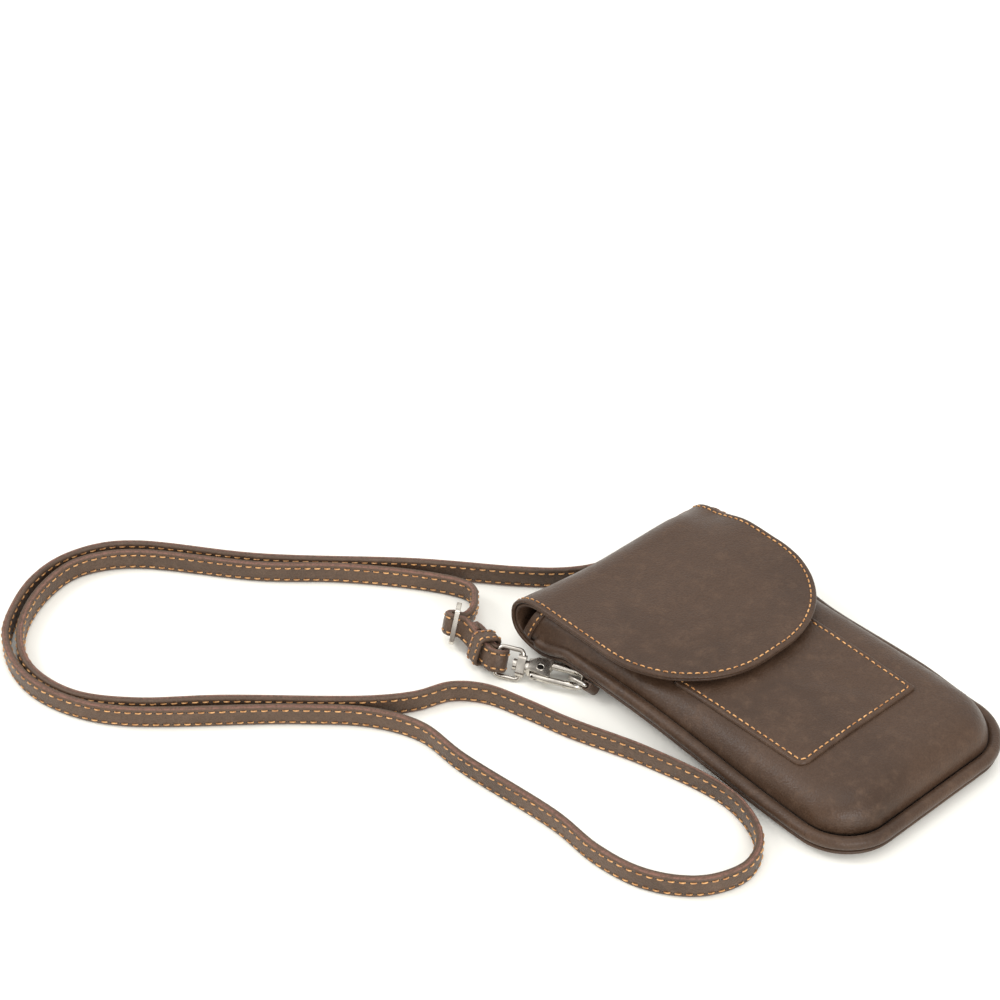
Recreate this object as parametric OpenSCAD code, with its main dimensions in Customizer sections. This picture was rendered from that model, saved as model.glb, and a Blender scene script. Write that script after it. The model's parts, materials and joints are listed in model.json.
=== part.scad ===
// Leather phone pouch with a fold-over flap, a card pocket and a clip-on shoulder strap.
// It lies on its back: +Y runs from the closed end to the fold, +Z is up from the table.
// The origin is at the middle of the pouch's footprint, on the table.

/* [Pouch] */
// Width over the rolled side seams
pouch_w = 104; // [96:1:120]
// Length from the closed end to the outside of the fold
pouch_l = 180; // [150:1:220]
// Radius of the two closed corners, at the seam
corner_r = 24.5; // [20:0.5:30]
// Height of the front face above the table
front_z = 21.4; // [18:0.2:26]
// Height of the rolled seam's centre at the closed end
seam_z = 7.5; // [6.5:0.1:9]
// Thickness of the outer leather
leather_t = 1.6; // [1:0.1:2.2]
// Thickness of the soft lining
lining_t = 1.2; // [0.6:0.1:2]
// Diameter of the rolled side seam
roll_d = 5.4; // [4:0.2:7]
// Lift of the side seams in the middle of the pouch
seam_lift = 5.4; // [2:0.1:7]

/* [Flap] */
// How far each side of the flap stops short of the pouch's side
flap_inset = 1; // [0.5:0.5:5]
// Outer radius of the fold
fold_r = 14.5; // [13:0.5:18]
// Place of the flap's lowest edge, measured from the middle of the pouch
flap_tip_y = -4.8; // [-20:0.2:10]
// Radius of the flap's two corners
flap_corner_r = 46; // [30:1:56]
// Drop of the flap from the fold to its lowest edge
flap_drop = 1.3; // [0:0.1:4]

/* [Card pocket] */
// Width of the card pocket at its closed end
pocket_w = 65; // [54:1:78]
// Length of the card pocket
pocket_l = 66; // [56:1:80]
// Distance from the pouch's closed end to the pocket's closed end
pocket_foot = 38; // [30:1:50]
// Sideways shift of the pocket from the middle
pocket_shift = -4; // [-8:0.5:8]

/* [Strap] */
// Width of the strap
strap_w = 9.2; // [8:0.2:12]
// Thickness of the strap, two layers sewn together
strap_t = 2.8; // [2:0.1:3.4]

/* [Clasp] */
// Distance from the swivel collar to the end of the hook
hook_l = 26; // [22:0.5:31]
// Width of the hook over its bow
hook_w = 11; // [10:0.5:13]
// Thickness of the hook's round bow
hook_t = 3.2; // [2.8:0.1:3.8]
// Length of the hollow hook body
hook_body_l = 10; // [9:0.5:12]
// Diameter of the ring wire
wire_d = 1.9; // [1.6:0.1:2.2]
// Clear width inside the swivel eye
eye_w = 10.2; // [10:0.2:12]
// Clear width inside the D ring
ring_w = 9.2; // [8:0.2:11]

/* [Hidden] */
$fn = 48;

half_w = pouch_w / 2;
flap_w = pouch_w - flap_inset * 2;
foot_y = -pouch_l / 2;
fold_y = pouch_l / 2 - fold_r;
roll_r = roll_d / 2;
fit_gap = pouch_w * 0.003;
running_gap = strap_w * 0.005;

leather_colour = "#5e4a3f";
lining_colour = "#4a3b33";
seam_colour = "#6a5548";
metal_colour = "#b9b2a6";
steel_colour = "#8f8f8f";

// The seam rises along both long sides. At the fold the near side comes down again and the far side stays up.
lift_start = foot_y + corner_r;
lift_run = pouch_l * 0.53;
drop_start = pouch_l * 0.33;
drop_run = fold_y - drop_start;
fold_edge_z = fold_r * 0.255;
seam_drop = seam_z + seam_lift - roll_r - leather_t - fit_gap - fold_edge_z;

function ease(t) = let(c = min(max(t, 0), 1)) c * c * (3 - 2 * c);
far_drop = -0.2;
function seam_rise(p) =
    seam_lift * ease((p[1] - lift_start) / lift_run)
    - seam_drop * (p[0] > 0 ? far_drop : 1) * ease((p[1] - drop_start) / drop_run);

// Half outlines nest inside one another: a U with its open end at the mouth.
side_steps = 12;
corner_steps = 6;
core_r = corner_r * 0.04;

function u_outline(inset, top_y) =
    let(r = max(corner_r - inset, core_r), x = half_w - inset, y = foot_y + inset + r)
    concat(
        [for (i = [0:side_steps - 1]) [-x, top_y + (y - top_y) * i / side_steps]],
        [for (i = [0:corner_steps]) let(a = 180 + 90 * i / corner_steps)
            [r - x + r * cos(a), y + r * sin(a)]],
        [for (i = [0:corner_steps]) let(a = 270 + 90 * i / corner_steps)
            [x - r + r * cos(a), y + r * sin(a)]],
        [for (i = [1:side_steps]) [x, y + (top_y - y) * i / side_steps]]
    );

// A shell is two nested stacks of outlines. Each level is [inset, height, share of the seam's rise].
module u_shell(outside, inside, top_y) {
    n = 2 * (side_steps + corner_steps + 1);
    k = len(outside);
    rings = concat(outside, inside);
    points = [
        for (level = rings)
            for (p = u_outline(level[0], top_y))
                [p[0], p[1], level[1] + level[2] * seam_rise(p)]
    ];
    walls = [
        for (j = [0:k - 2]) for (i = [0:n - 2])
            each [[j * n + i, j * n + i + 1, (j + 1) * n + i + 1, (j + 1) * n + i],
                  [(j + k) * n + i + 1, (j + k) * n + i, (j + k + 1) * n + i, (j + k + 1) * n + i + 1]]
    ];
    rim = [for (i = [0:n - 2]) [i + 1, i, k * n + i, k * n + i + 1]];
    middle = [
        for (i = [0:n / 2 - 2])
            each [[(k - 1) * n + i, (k - 1) * n + i + 1, (k - 1) * n + n - 2 - i, (k - 1) * n + n - 1 - i],
                  [(2 * k - 1) * n + i + 1, (2 * k - 1) * n + i,
                   (2 * k - 1) * n + n - 1 - i, (2 * k - 1) * n + n - 2 - i]]
    ];
    ends = [
        for (j = [0:k - 2])
            each [[j * n, (j + 1) * n, (j + k + 1) * n, (j + k) * n],
                  [(j + 1) * n + n - 1, j * n + n - 1, (j + k) * n + n - 1, (j + k + 1) * n + n - 1]]
    ];
    end_middle = [[(k - 1) * n, (k - 1) * n + n - 1, (2 * k - 1) * n + n - 1, (2 * k - 1) * n]];
    faces = concat(walls, rim, middle, ends, end_middle);
    polyhedron(points = points, faces = faces, convexity = 8);
}

// Insets of the levels, as shares of the belly's width
belly_steps = 6;
belly_w = pouch_w * 0.173;
back_edge = roll_r * 0.37;
back_edge_z = seam_z - roll_r - leather_t - fit_gap;
centre_inset = half_w - core_r * 2;

function belly(t) = pow(1 - t * t, 2);
function belly_levels(thickness, edge) = concat(
    [for (i = [0:belly_steps]) let(t = i / belly_steps)
        [edge + (back_edge + belly_w - edge) * t, back_edge_z * belly(t) + thickness, belly(t)]],
    [[centre_inset, thickness, 0]]
);

// The front face is a cushion: a quarter round from the groove beside the roll to the flat top.
crown_steps = 6;
crown_w = pouch_w * 0.115;
groove = roll_d * 1.02;
crown_foot = seam_z + roll_r * 0.1;

function crown_levels(skin) =
    let(top = front_z - skin, run = crown_w - skin)
    concat(
        [for (i = [0:crown_steps]) let(a = 90 * i / crown_steps)
            [groove + crown_w - run * cos(a), crown_foot * (1 - sin(a)) + top * sin(a), 1 - sin(a)]],
        [[centre_inset, top, 0]]
    );

mouth_y = fold_y + fold_r * 0.35;

module back_panel() {
    color(leather_colour)
        u_shell(belly_levels(0, back_edge), belly_levels(leather_t, back_edge), fold_y);
}

module back_lining() {
    lining_edge = groove + leather_t + fit_gap;
    low = leather_t + fit_gap / 3;
    color(lining_colour)
        u_shell(belly_levels(low, lining_edge), belly_levels(low + lining_t, lining_edge), fold_y);
}

module front_panel() {
    color(leather_colour)
        u_shell(crown_levels(leather_t), crown_levels(0), mouth_y);
}

module front_lining() {
    skin = leather_t + fit_gap / 3;
    color(lining_colour)
        u_shell(crown_levels(skin + lining_t), crown_levels(skin), mouth_y);
}

// Sweeps a closed section along points; each station has its own width direction.
function unit(v) = v / norm(v);
function tangent(p, i) = unit(p[min(i + 1, len(p) - 1)] - p[max(i - 1, 0)]);

module swept_tube(centres, across, section) {
    n = len(centres);
    m = len(section);
    points = [
        for (i = [0:n - 1])
            let(t = tangent(centres, i), w = unit(across[i] - t * (across[i] * t)), s = cross(t, w))
            for (q = section) centres[i] + w * q[0] + s * q[1]
    ];
    sides = [
        for (i = [0:n - 2]) for (j = [0:m - 1])
            [i * m + j, i * m + (j + 1) % m, (i + 1) * m + (j + 1) % m, (i + 1) * m + j]
    ];
    caps = [[for (j = [m - 1:-1:0]) j], [for (j = [0:m - 1]) (n - 1) * m + j]];
    polyhedron(points = points, faces = concat(sides, caps), convexity = 10);
}

// The rolled seam between the back and the cushion
module side_roll() {
    path = u_outline(roll_r, fold_y);
    centres = [for (p = path) [p[0], p[1], seam_z + seam_rise(p)]];
    across = [for (p = path) [0, 0, 1]];
    section = [for (i = [0:11]) roll_r * [cos(30 * i), sin(30 * i)]];
    color(seam_colour)
        swept_tube(centres, across, section);
}

// The bound edge of the front panel's mouth
binding_w = pouch_w * 0.6;
binding_l = fold_r * 0.45;
binding_t = leather_t * 0.8;

module mouth_binding() {
    color(seam_colour)
        translate([-binding_w / 2, mouth_y - binding_l, front_z])
            cube([binding_w, binding_l, binding_t]);
}

// The card pocket is a patch sewn on three sides, with its mouth under the flap.
pocket_taper = pocket_w * 0.02;
pocket_t = leather_t * 0.8;

module card_pocket() {
    foot = foot_y + pocket_foot;
    left = pocket_shift - pocket_w / 2;
    right = pocket_shift + pocket_w / 2;
    near_r = pocket_w * 0.06;
    color(leather_colour)
        translate([0, 0, front_z])
            linear_extrude(pocket_t)
                union() {
                    polygon([
                        [left + near_r, foot], [right, foot], [right + pocket_taper, foot + pocket_l],
                        [left - pocket_taper, foot + pocket_l], [left, foot + near_r]
                    ]);
                    translate([left + near_r, foot + near_r])
                        circle(r = near_r);
                }
}

// A magnet under the front lining and one in the flap hold it shut.
magnet_d = pouch_w * 0.14;
magnet_t = leather_t * 0.75;
magnet_y = flap_tip_y + pouch_l * 0.075;

module pouch_magnet() {
    under = front_z - leather_t - lining_t - fit_gap * 2;
    color(steel_colour)
        translate([0, magnet_y, under - magnet_t])
            cylinder(d = magnet_d, h = magnet_t);
}

// The fold is a half ring from the back panel round to the flap.
module fold_ring(outer, thickness, width) {
    translate([-width / 2, fold_y, fold_r])
        rotate([90, 0, 90])
            linear_extrude(width)
                difference() {
                    intersection() {
                        circle(r = outer);
                        translate([0, -outer])
                            square([outer, outer * 2]);
                    }
                    circle(r = outer - thickness);
                }
}

module flap_fold() {
    color(leather_colour)
        fold_ring(fold_r, leather_t, flap_w);
}

module fold_lining() {
    color(lining_colour)
        fold_ring(fold_r - leather_t, lining_t, flap_w - lining_t * 2);
}

// The flap is a flat tongue with two large round corners, sloping a little to its edge.
flap_l = fold_y - flap_tip_y;
flap_slope = atan(flap_drop / flap_l);

module tongue(width, length, radius, thickness) {
    linear_extrude(thickness)
        union() {
            translate([-width / 2, radius - length])
                square([width, length - radius]);
            intersection() {
                union() {
                    for (side = [-1, 1])
                        translate([side * (width / 2 - radius), radius - length])
                            circle(r = radius, $fn = 96);
                    translate([radius - width / 2, -length])
                        square([width - radius * 2, radius]);
                }
                translate([-width / 2, -length])
                    square([width, length]);
            }
        }
}

module on_flap(depth) {
    translate([0, fold_y - fit_gap * 0.3, fold_r * 2])
        rotate([flap_slope, 0, 0])
            translate([0, 0, -depth])
                children();
}

module flap_outer() {
    color(leather_colour)
        on_flap(leather_t)
            tongue(flap_w, flap_l, flap_corner_r, leather_t);
}

flap_core = leather_t * 0.3;
module flap_lining() {
    inset = lining_t;
    depth = leather_t + flap_core + lining_t;
    color(lining_colour)
        on_flap(depth)
            difference() {
                tongue(flap_w - inset * 2, flap_l - inset, flap_corner_r - inset, lining_t + flap_core);
                translate([0, magnet_y - fold_y, lining_t])
                    cylinder(d = magnet_d + fit_gap, h = lining_t);
            }
}

module flap_magnet() {
    color(steel_colour)
        on_flap(leather_t + flap_core)
            translate([0, magnet_y - fold_y, 0])
                cylinder(d = magnet_d, h = flap_core);
}

// The far clasp and ring are the near ones mirrored, a little lower and nearer the closed end, and turned in.
ring_x = -half_w * 0.977;
ring_y = pouch_l * 0.2611;
far_turn = 9.5;
far_shift = ring_w * 0.25;
far_sink = ring_w * 0.0165;

module at_side(far) {
    if (far)
        translate([-ring_x, ring_y - far_shift, -far_sink])
            rotate([0, 0, far_turn])
                translate([ring_x, -ring_y, 0])
                    mirror([1, 0, 0])
                        children();
    else
        children();
}

// Clasp frame: x runs from the swivel collar along the hook, y from the gate to the spine.
clasp_x = -half_w * 1.185;
clasp_y = pouch_l * 0.4045;
clasp_z = strap_w * 0.64;
clasp_heading = -58.3;
clasp_pitch = 4.5;
hook_roll = 6;
eye_roll = 58;

module clasp_frame(roll) {
    translate([clasp_x, clasp_y, clasp_z])
        rotate([0, clasp_pitch, clasp_heading])
            rotate([roll, 0, 0])
                children();
}

// A bar with round edges, drawn as a plain cross section
module round_bar(width, thickness) {
    r = thickness / 2;
    union() {
        square([width - thickness, thickness], center = true);
        for (side = [-1, 1])
            translate([side * (width / 2 - r), 0])
                circle(r = r);
    }
}

// The swivel eye: a wire frame for the strap and a barrel with a bore for the hook's post
post_d = wire_d * 1.5;
head_d = wire_d * 2.4;
head_t = wire_d * 0.8;
barrel_l = wire_d * 1.7;
barrel_w = wire_d * 4.8;
barrel_t = wire_d * 2.1;
collar_gap = wire_d * 0.1;
eye_l = wire_d * 3.9;
eye_corner = wire_d * 0.9;
eye_tip_r = wire_d * 1.05;

module wire_corner(radius) {
    rotate_extrude(angle = 90)
        translate([radius, 0])
            circle(d = wire_d, $fn = 24);
}

module swivel_eye() {
    half = eye_w / 2 + wire_d / 2;
    front = -collar_gap - barrel_l / 2;
    back = -collar_gap - barrel_l - eye_l - wire_d / 2;
    difference() {
        union() {
            translate([back, 0, 0])
                rotate([90, 0, 0])
                    cylinder(d = wire_d, h = (half - eye_tip_r) * 2, center = true, $fn = 24);
            for (side = [-1, 1]) {
                translate([back + eye_tip_r, side * half, 0])
                    rotate([0, 90, 0])
                        cylinder(d = wire_d, h = front - back - eye_corner - eye_tip_r, $fn = 24);
                translate([front, 0, 0])
                    mirror([0, side < 0 ? 1 : 0, 0])
                        translate([-eye_corner, half - eye_corner, 0])
                            wire_corner(eye_corner);
                translate([back, 0, 0])
                    mirror([0, side < 0 ? 1 : 0, 0])
                        translate([eye_tip_r, half - eye_tip_r, 0])
                            rotate([0, 0, 90])
                                wire_corner(eye_tip_r);
            }
            translate([front, 0, 0])
                rotate([90, 0, 0])
                    cylinder(d = wire_d, h = (half - eye_corner) * 2, center = true, $fn = 24);
            translate([-collar_gap - barrel_l, 0, 0])
                rotate([0, 90, 0])
                    linear_extrude(barrel_l)
                        rotate(90)
                            round_bar(barrel_w, barrel_t);
        }
        translate([-collar_gap - barrel_l * 1.5, 0, 0])
            rotate([0, 90, 0])
                cylinder(d = post_d + running_gap * 2, h = barrel_l * 2);
    }
}

module near_swivel_eye() {
    color(metal_colour)
        at_side(false) clasp_frame(eye_roll) swivel_eye();
}

module far_swivel_eye() {
    color(metal_colour)
        at_side(true) clasp_frame(eye_roll) swivel_eye();
}

// The hook: a collar and post, a hollow body, a straight spine, a round bow and a nose
half_hook = hook_w / 2;
bow_r = half_hook - hook_t / 2;
body_t = hook_t * 1.35;
collar_w = hook_w * 0.52;
pin_x = hook_body_l * 0.62;
pin_y = -hook_w * 0.02;
pin_d = wire_d * 0.8;
gate_slot = hook_t * 0.9;
web_t = hook_t * 0.5;
slot_x = hook_t * 0.7;
gate_tip_x = hook_l * 0.66;
bow_x = hook_l - half_hook;
bar_y = hook_t / 2 - half_hook;
gate_reach = norm([gate_tip_x - pin_x, bar_y - pin_y]);

module hook() {
    difference() {
        union() {
            // Post and head, held in the barrel
            translate([-collar_gap * 2 - barrel_l - head_t, 0, 0])
                rotate([0, 90, 0])
                    cylinder(d = head_d, h = head_t);
            translate([-collar_gap * 2 - barrel_l, 0, 0])
                rotate([0, 90, 0])
                    cylinder(d = post_d, h = barrel_l + collar_gap * 3);
            rotate([0, 90, 0])
                cylinder(d = collar_w * 0.9, h = hook_t * 0.45);
            // Body, wider towards the bow
            translate([hook_t * 0.3, 0, -body_t / 2])
                linear_extrude(body_t)
                    polygon([
                        [0, -collar_w * 0.42], [0, collar_w * 0.5], [hook_body_l * 0.35, half_hook * 0.86],
                        [hook_body_l * 0.8, half_hook * 0.96], [hook_body_l, half_hook * 0.96],
                        [hook_body_l * 0.86, 0], [hook_body_l, -half_hook * 0.62],
                        [hook_body_l * 0.94, -half_hook * 0.76]
                    ]);
            // Spine
            translate([hook_body_l * 0.9, half_hook - hook_t / 2, 0])
                rotate([0, 90, 0])
                    cylinder(d = hook_t, h = bow_x - hook_body_l * 0.9);
            // Bow
            translate([bow_x, 0, 0])
                rotate([0, 0, -90])
                    rotate_extrude(angle = 180)
                        translate([bow_r, 0])
                            circle(d = hook_t);
            // Nose, cut back on an arc round the gate's pin
            difference() {
                translate([gate_tip_x - hook_t / 2, bar_y, 0])
                    rotate([0, 90, 0])
                        cylinder(d = hook_t, h = bow_x - gate_tip_x + hook_t / 2);
                translate([pin_x, pin_y, -hook_t])
                    cylinder(r = gate_reach + fit_gap / 2, h = hook_t * 2, $fn = 96);
            }
        }
        // Slot that the gate's bar and web sit in
        translate([slot_x, -half_hook * 2, -gate_slot / 2])
            cube([hook_body_l * 1.1, half_hook * 2 + hook_w * 0.16, gate_slot]);
        translate([pin_x, pin_y, -body_t])
            cylinder(d = pin_d, h = body_t * 2);
    }
}

module near_hook() {
    color(metal_colour)
        at_side(false) clasp_frame(hook_roll) hook();
}

module far_hook() {
    color(metal_colour)
        at_side(true) clasp_frame(hook_roll) hook();
}

// The gate turns on its pin inside the body and closes against the nose.
gate_bar_t = hook_t * 0.84;
gate_hinge_gap = pin_d * 0.03;

module gate() {
    tail_x = hook_t * 0.75;
    difference() {
        union() {
            intersection() {
                translate([tail_x + gate_bar_t / 2, bar_y, 0])
                    rotate([0, 90, 0])
                        cylinder(d = gate_bar_t, h = gate_tip_x - tail_x);
                translate([pin_x, pin_y, -gate_bar_t])
                    cylinder(r = gate_reach, h = gate_bar_t * 2, $fn = 96);
            }
            translate([tail_x + gate_bar_t / 2, bar_y, 0])
                sphere(d = gate_bar_t);
            translate([0, 0, -web_t / 2])
                linear_extrude(web_t)
                    union() {
                        translate([pin_x, pin_y])
                            circle(d = pin_d * 2);
                        polygon([
                            [pin_x - pin_d, pin_y], [pin_x + pin_d, pin_y],
                            [pin_x + pin_d * 1.6, bar_y], [pin_x - pin_d * 1.6, bar_y]
                        ]);
                    }
        }
        translate([pin_x, pin_y, -gate_slot])
            cylinder(d = pin_d + gate_hinge_gap * 2, h = gate_slot * 2);
        // Thumb dimple
        translate([tail_x + gate_bar_t, bar_y - gate_bar_t * 0.75, 0])
            sphere(d = gate_bar_t * 0.8);
    }
}

module near_gate() {
    color(metal_colour)
        at_side(false) clasp_frame(hook_roll) gate();
}

module far_gate() {
    color(metal_colour)
        at_side(true) clasp_frame(hook_roll) gate();
}

module gate_pin() {
    translate([pin_x, pin_y, -body_t / 2 - pin_d * 0.12])
        cylinder(d = pin_d, h = body_t + pin_d * 0.24);
}

module near_gate_pin() {
    color(steel_colour)
        at_side(false) clasp_frame(hook_roll) gate_pin();
}

module far_gate_pin() {
    color(steel_colour)
        at_side(true) clasp_frame(hook_roll) gate_pin();
}

// The spring is a leaf inside the body, behind the gate's web.
spring_t = gate_slot * 0.2;

module gate_spring() {
    translate([slot_x, hook_w * 0.03, -gate_slot * 0.4])
        cube([pin_x - pin_d * 1.3 - slot_x, spring_t, gate_slot * 0.8]);
}

module near_gate_spring() {
    color(steel_colour)
        at_side(false) clasp_frame(hook_roll) gate_spring();
}

module far_gate_spring() {
    color(steel_colour)
        at_side(true) clasp_frame(hook_roll) gate_spring();
}

// D ring frame: x runs from the ring's straight bar towards the hook, y along the bar.
ring_z = strap_w * 0.5435;
ring_heading = 97.4;
ring_tilt = 49.5;
ring_r = ring_w / 2 + wire_d / 2;
ring_leg = ring_w * 0.42;
ring_corner = wire_d * 0.9;

module ring_frame() {
    translate([ring_x, ring_y, ring_z])
        rotate([0, 0, ring_heading])
            rotate([ring_tilt, 0, 0])
                children();
}

module d_ring() {
    rotate([90, 0, 0])
        cylinder(d = wire_d, h = (ring_r - ring_corner) * 2, center = true, $fn = 24);
    for (side = [0, 1])
        mirror([0, side, 0]) {
            translate([ring_corner, ring_r - ring_corner, 0])
                rotate([0, 0, 90])
                    wire_corner(ring_corner);
            translate([ring_corner, ring_r, 0])
                rotate([0, 90, 0])
                    cylinder(d = wire_d, h = ring_leg - ring_corner, $fn = 24);
        }
    translate([ring_leg, 0, 0])
        rotate([0, 0, -90])
            rotate_extrude(angle = 180)
                translate([ring_r, 0])
                    circle(d = wire_d, $fn = 24);
}

module near_d_ring() {
    color(metal_colour)
        at_side(false) ring_frame() d_ring();
}

module far_d_ring() {
    color(metal_colour)
        at_side(true) ring_frame() d_ring();
}

// The tab is a short leather strip folded round the ring's bar and caught in the side seam.
tab_w = ring_w * 0.92;
tab_l = ring_w * 0.2;
tab_t = leather_t * 0.55;

module ring_tab() {
    eye_r = wire_d / 2 + fit_gap / 2;
    rotate([90, 0, 0])
        linear_extrude(tab_w, center = true)
            difference() {
                union() {
                    circle(r = eye_r + tab_t);
                    translate([-eye_r - tab_t, 0])
                        square([(eye_r + tab_t) * 2, tab_l]);
                }
                circle(r = eye_r);
            }
}

module near_ring_tab() {
    color(leather_colour)
        at_side(false) ring_frame() ring_tab();
}

module far_ring_tab() {
    color(leather_colour)
        at_side(true) ring_frame() ring_tab();
}

// The strap stands on its edge. Each station is [x, y, z, lean], where the lean says how far the
// top of the strap tips along x and y for each step up.
strap_half_w = strap_w / 2;
strap_section = [
    [-strap_half_w, -strap_t * 0.3], [-strap_half_w * 0.94, -strap_t / 2],
    [strap_half_w * 0.94, -strap_t / 2], [strap_half_w, -strap_t * 0.3],
    [strap_half_w, strap_t * 0.3], [strap_half_w * 0.94, strap_t / 2],
    [-strap_half_w * 0.94, strap_t / 2], [-strap_half_w, strap_t * 0.3]
];
upright = [0, 0, 1];
tipped = [0.05, 0, 1];
leaning = [0.3, 0, 1];
in_slider = [0.43, 0.14, 1];
in_keeper = [0.32, -0.05, 1];
on_bar = [0.57, 0.26, 1];
in_keeper_far = [-0.3, -0.11, 1];
on_bar_far = [-0.61, 0.14, 1];
leaning_far = [-0.25, 0, 1];
route = [
    [58.9, 89.6, 6.75, in_keeper_far], [59.2, 86.2, 5.85, in_keeper_far], [58.7, 81.7, 5.05, on_bar_far],
    [60.4, 80.3, 6.45, on_bar_far], [62.2, 80.2, 7.55, on_bar_far], [63.7, 81.7, 8.05, on_bar_far],
    [64, 83.9, 7.45, on_bar_far], [63.7, 87.6, 6.65, in_keeper_far], [61.4, 92.4, 5.6, leaning_far],
    [54, 95.6, 4.9, tipped], [45, 95.8, 4.8, upright], [34, 95, 4.8, upright],
    [14, 94.3, 4.8, upright], [0, 97.5, 4.8, upright], [-12, 105, 4.8, upright], [-24, 117, 4.8, upright],
    [-51, 149, 4.8, upright], [-98, 197, 4.8, upright],
    [-130, 238, 4.8, upright], [-143, 247.5, 4.8, upright], [-160, 251.5, 4.8, upright],
    [-176, 248.5, 4.8, upright], [-191, 240, 4.8, upright], [-203.5, 228.5, 4.8, upright],
    [-211, 212, 4.8, upright], [-212.5, 196, 4.8, upright], [-208, 178, 4.8, upright],
    [-197, 160, 4.8, upright], [-145, 113.5, 4.8, upright],
    [-125, 92, 4.8, upright], [-116.5, 73, 4.8, upright], [-116.5, 50, 4.8, upright],
    [-112, 2, 4.8, upright], [-113, -20, 4.8, upright], [-110, -38, 4.8, upright],
    [-103, -51, 4.8, upright], [-93, -60, 4.8, upright], [-78, -64, 4.8, upright],
    [-65.5, -58.5, 4.8, upright], [-58, -46, 4.8, upright], [-55.5, -30, 4.8, upright],
    [-62, 4, 4.8, upright], [-73, 37, 4.8, upright], [-77.5, 55, 4.8, upright],
    [-83.5, 73, 4.8, upright], [-92.5, 83, 4.8, upright], [-106, 88, 4.8, upright],
    [-121, 98, 4.8, upright], [-164.5, 138.5, 4.8, upright], [-190, 160, 4.8, upright],
    [-204, 178, 4.8, upright], [-208.5, 195, 4.8, upright], [-207, 210, 4.8, upright],
    [-199, 225, 4.8, upright], [-187, 236, 4.8, upright], [-172, 243.5, 4.8, upright],
    [-158, 246, 4.8, upright], [-146, 242.5, 4.8, upright], [-133, 233, 4.8, upright],
    [-101, 192.5, 4.8, upright], [-77, 169, 4.8, upright], [-56, 143, 4.8, upright],
    [-48, 130, 4.8, upright], [-46, 123.5, 5, upright], [-47.5, 118.8, 5.4, tipped],
    [-50.5, 115.4, 6.2, tipped], [-55, 111.5, 7, leaning], [-59.6, 108.6, 7.6, leaning],
    [-63.5, 108, 7.7, in_slider], [-65.5, 110.1, 8.2, in_slider], [-66.5, 111.6, 8.5, in_slider],
    [-69.2, 111.4, 9.6, in_slider], [-69.7, 108.4, 10.2, in_slider], [-68.6, 107.2, 10, in_slider],
    [-66.7, 104.9, 9.5, in_slider], [-68.2, 93.5, 8, in_keeper], [-69.9, 86, 7.9, in_keeper],
    [-70.3, 83.2, 8, on_bar], [-69.7, 81.4, 8.3, on_bar], [-68, 80.2, 7.7, on_bar],
    [-66.2, 80.5, 6.6, on_bar], [-64.7, 82.3, 5.7, on_bar], [-65.2, 84.4, 6, on_bar],
    [-66.7, 87.2, 6.9, in_keeper],
    [-64.9, 92.8, 6.9, in_keeper], [-63.6, 98.7, 7.4, in_keeper], [-64.2, 101.1, 8.1, in_keeper],
    [-66, 99.8, 8.8, in_keeper], [-66.4, 97.6, 8.5, in_keeper]
];

module strap() {
    centres = [for (s = route) [s[0], s[1], s[2]]];
    across = [for (s = route) s[3] * strap_w];
    color(leather_colour)
        swept_tube(centres, across, strap_section);
}

// The keeper is a leather loop round the strap's doubled end.
tail_x = -half_w * 1.2945;
tail_y = pouch_l * 0.5064;
tail_z = strap_w * 0.82;
tail_turn = [-5, -72, -9];
keeper_l = strap_w * 0.76;
keeper_t = leather_t * 0.75;
stack_t = strap_t * 2.3;
keeper_gap = fit_gap * 2;

module tail_frame() {
    translate([tail_x, tail_y, tail_z])
        rotate(tail_turn)
            children();
}

module strap_keeper() {
    inner_w = strap_w + keeper_gap * 2;
    inner_t = stack_t + keeper_gap * 2;
    color(leather_colour)
        tail_frame()
            rotate([90, 0, 0])
                linear_extrude(keeper_l, center = true)
                    difference() {
                        square([inner_w + keeper_t * 2, inner_t + keeper_t * 2], center = true);
                        square([inner_w, inner_t], center = true);
                    }
}

// The slider is a cast frame with a bar across its middle. The strap goes through one slot,
// round the bar and back through the other.
slider_x = -half_w * 1.2885;
slider_y = pouch_l * 0.604;
slider_z = strap_w * 0.99;
slider_turn = [114, -66, 18];
slider_w = strap_w * 1.7;
slider_h = strap_t * 4;
slider_t = wire_d * 1.05;
slider_bar = wire_d * 0.75;

module strap_slider() {
    slot_w = slider_w - slider_t * 2;
    slot_h = (slider_h - slider_bar * 3) / 2;
    color(metal_colour)
        translate([slider_x, slider_y, slider_z])
            rotate(slider_turn)
                linear_extrude(slider_t, center = true)
                    difference() {
                        union() {
                            square([slider_w - slider_t * 2, slider_h], center = true);
                            square([slider_w, slider_h - slider_t * 2], center = true);
                            for (x = [-1, 1]) for (y = [-1, 1])
                                translate([x * (slider_w / 2 - slider_t), y * (slider_h / 2 - slider_t)])
                                    circle(r = slider_t);
                        }
                        for (y = [-1, 1])
                            translate([0, y * (slot_h + slider_bar) / 2])
                                square([slot_w, slot_h], center = true);
                    }
}

back_panel();
back_lining();
front_panel();
front_lining();
side_roll();
mouth_binding();
card_pocket();
pouch_magnet();
flap_fold();
fold_lining();
flap_outer();
flap_lining();
flap_magnet();
near_ring_tab();
far_ring_tab();
near_d_ring();
far_d_ring();
strap();
strap_keeper();
strap_slider();
near_swivel_eye();
far_swivel_eye();
near_hook();
far_hook();
near_gate();
far_gate();
near_gate_pin();
far_gate_pin();
near_gate_spring();
far_gate_spring();
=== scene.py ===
"""Leather phone pouch with a fold-over flap, a card pocket and a clip-on shoulder strap.

Lengths are metres in the CAD frame. The pouch lies on its back: +Y runs to the fold and +Z is up.
"""

import json
import math

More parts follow.
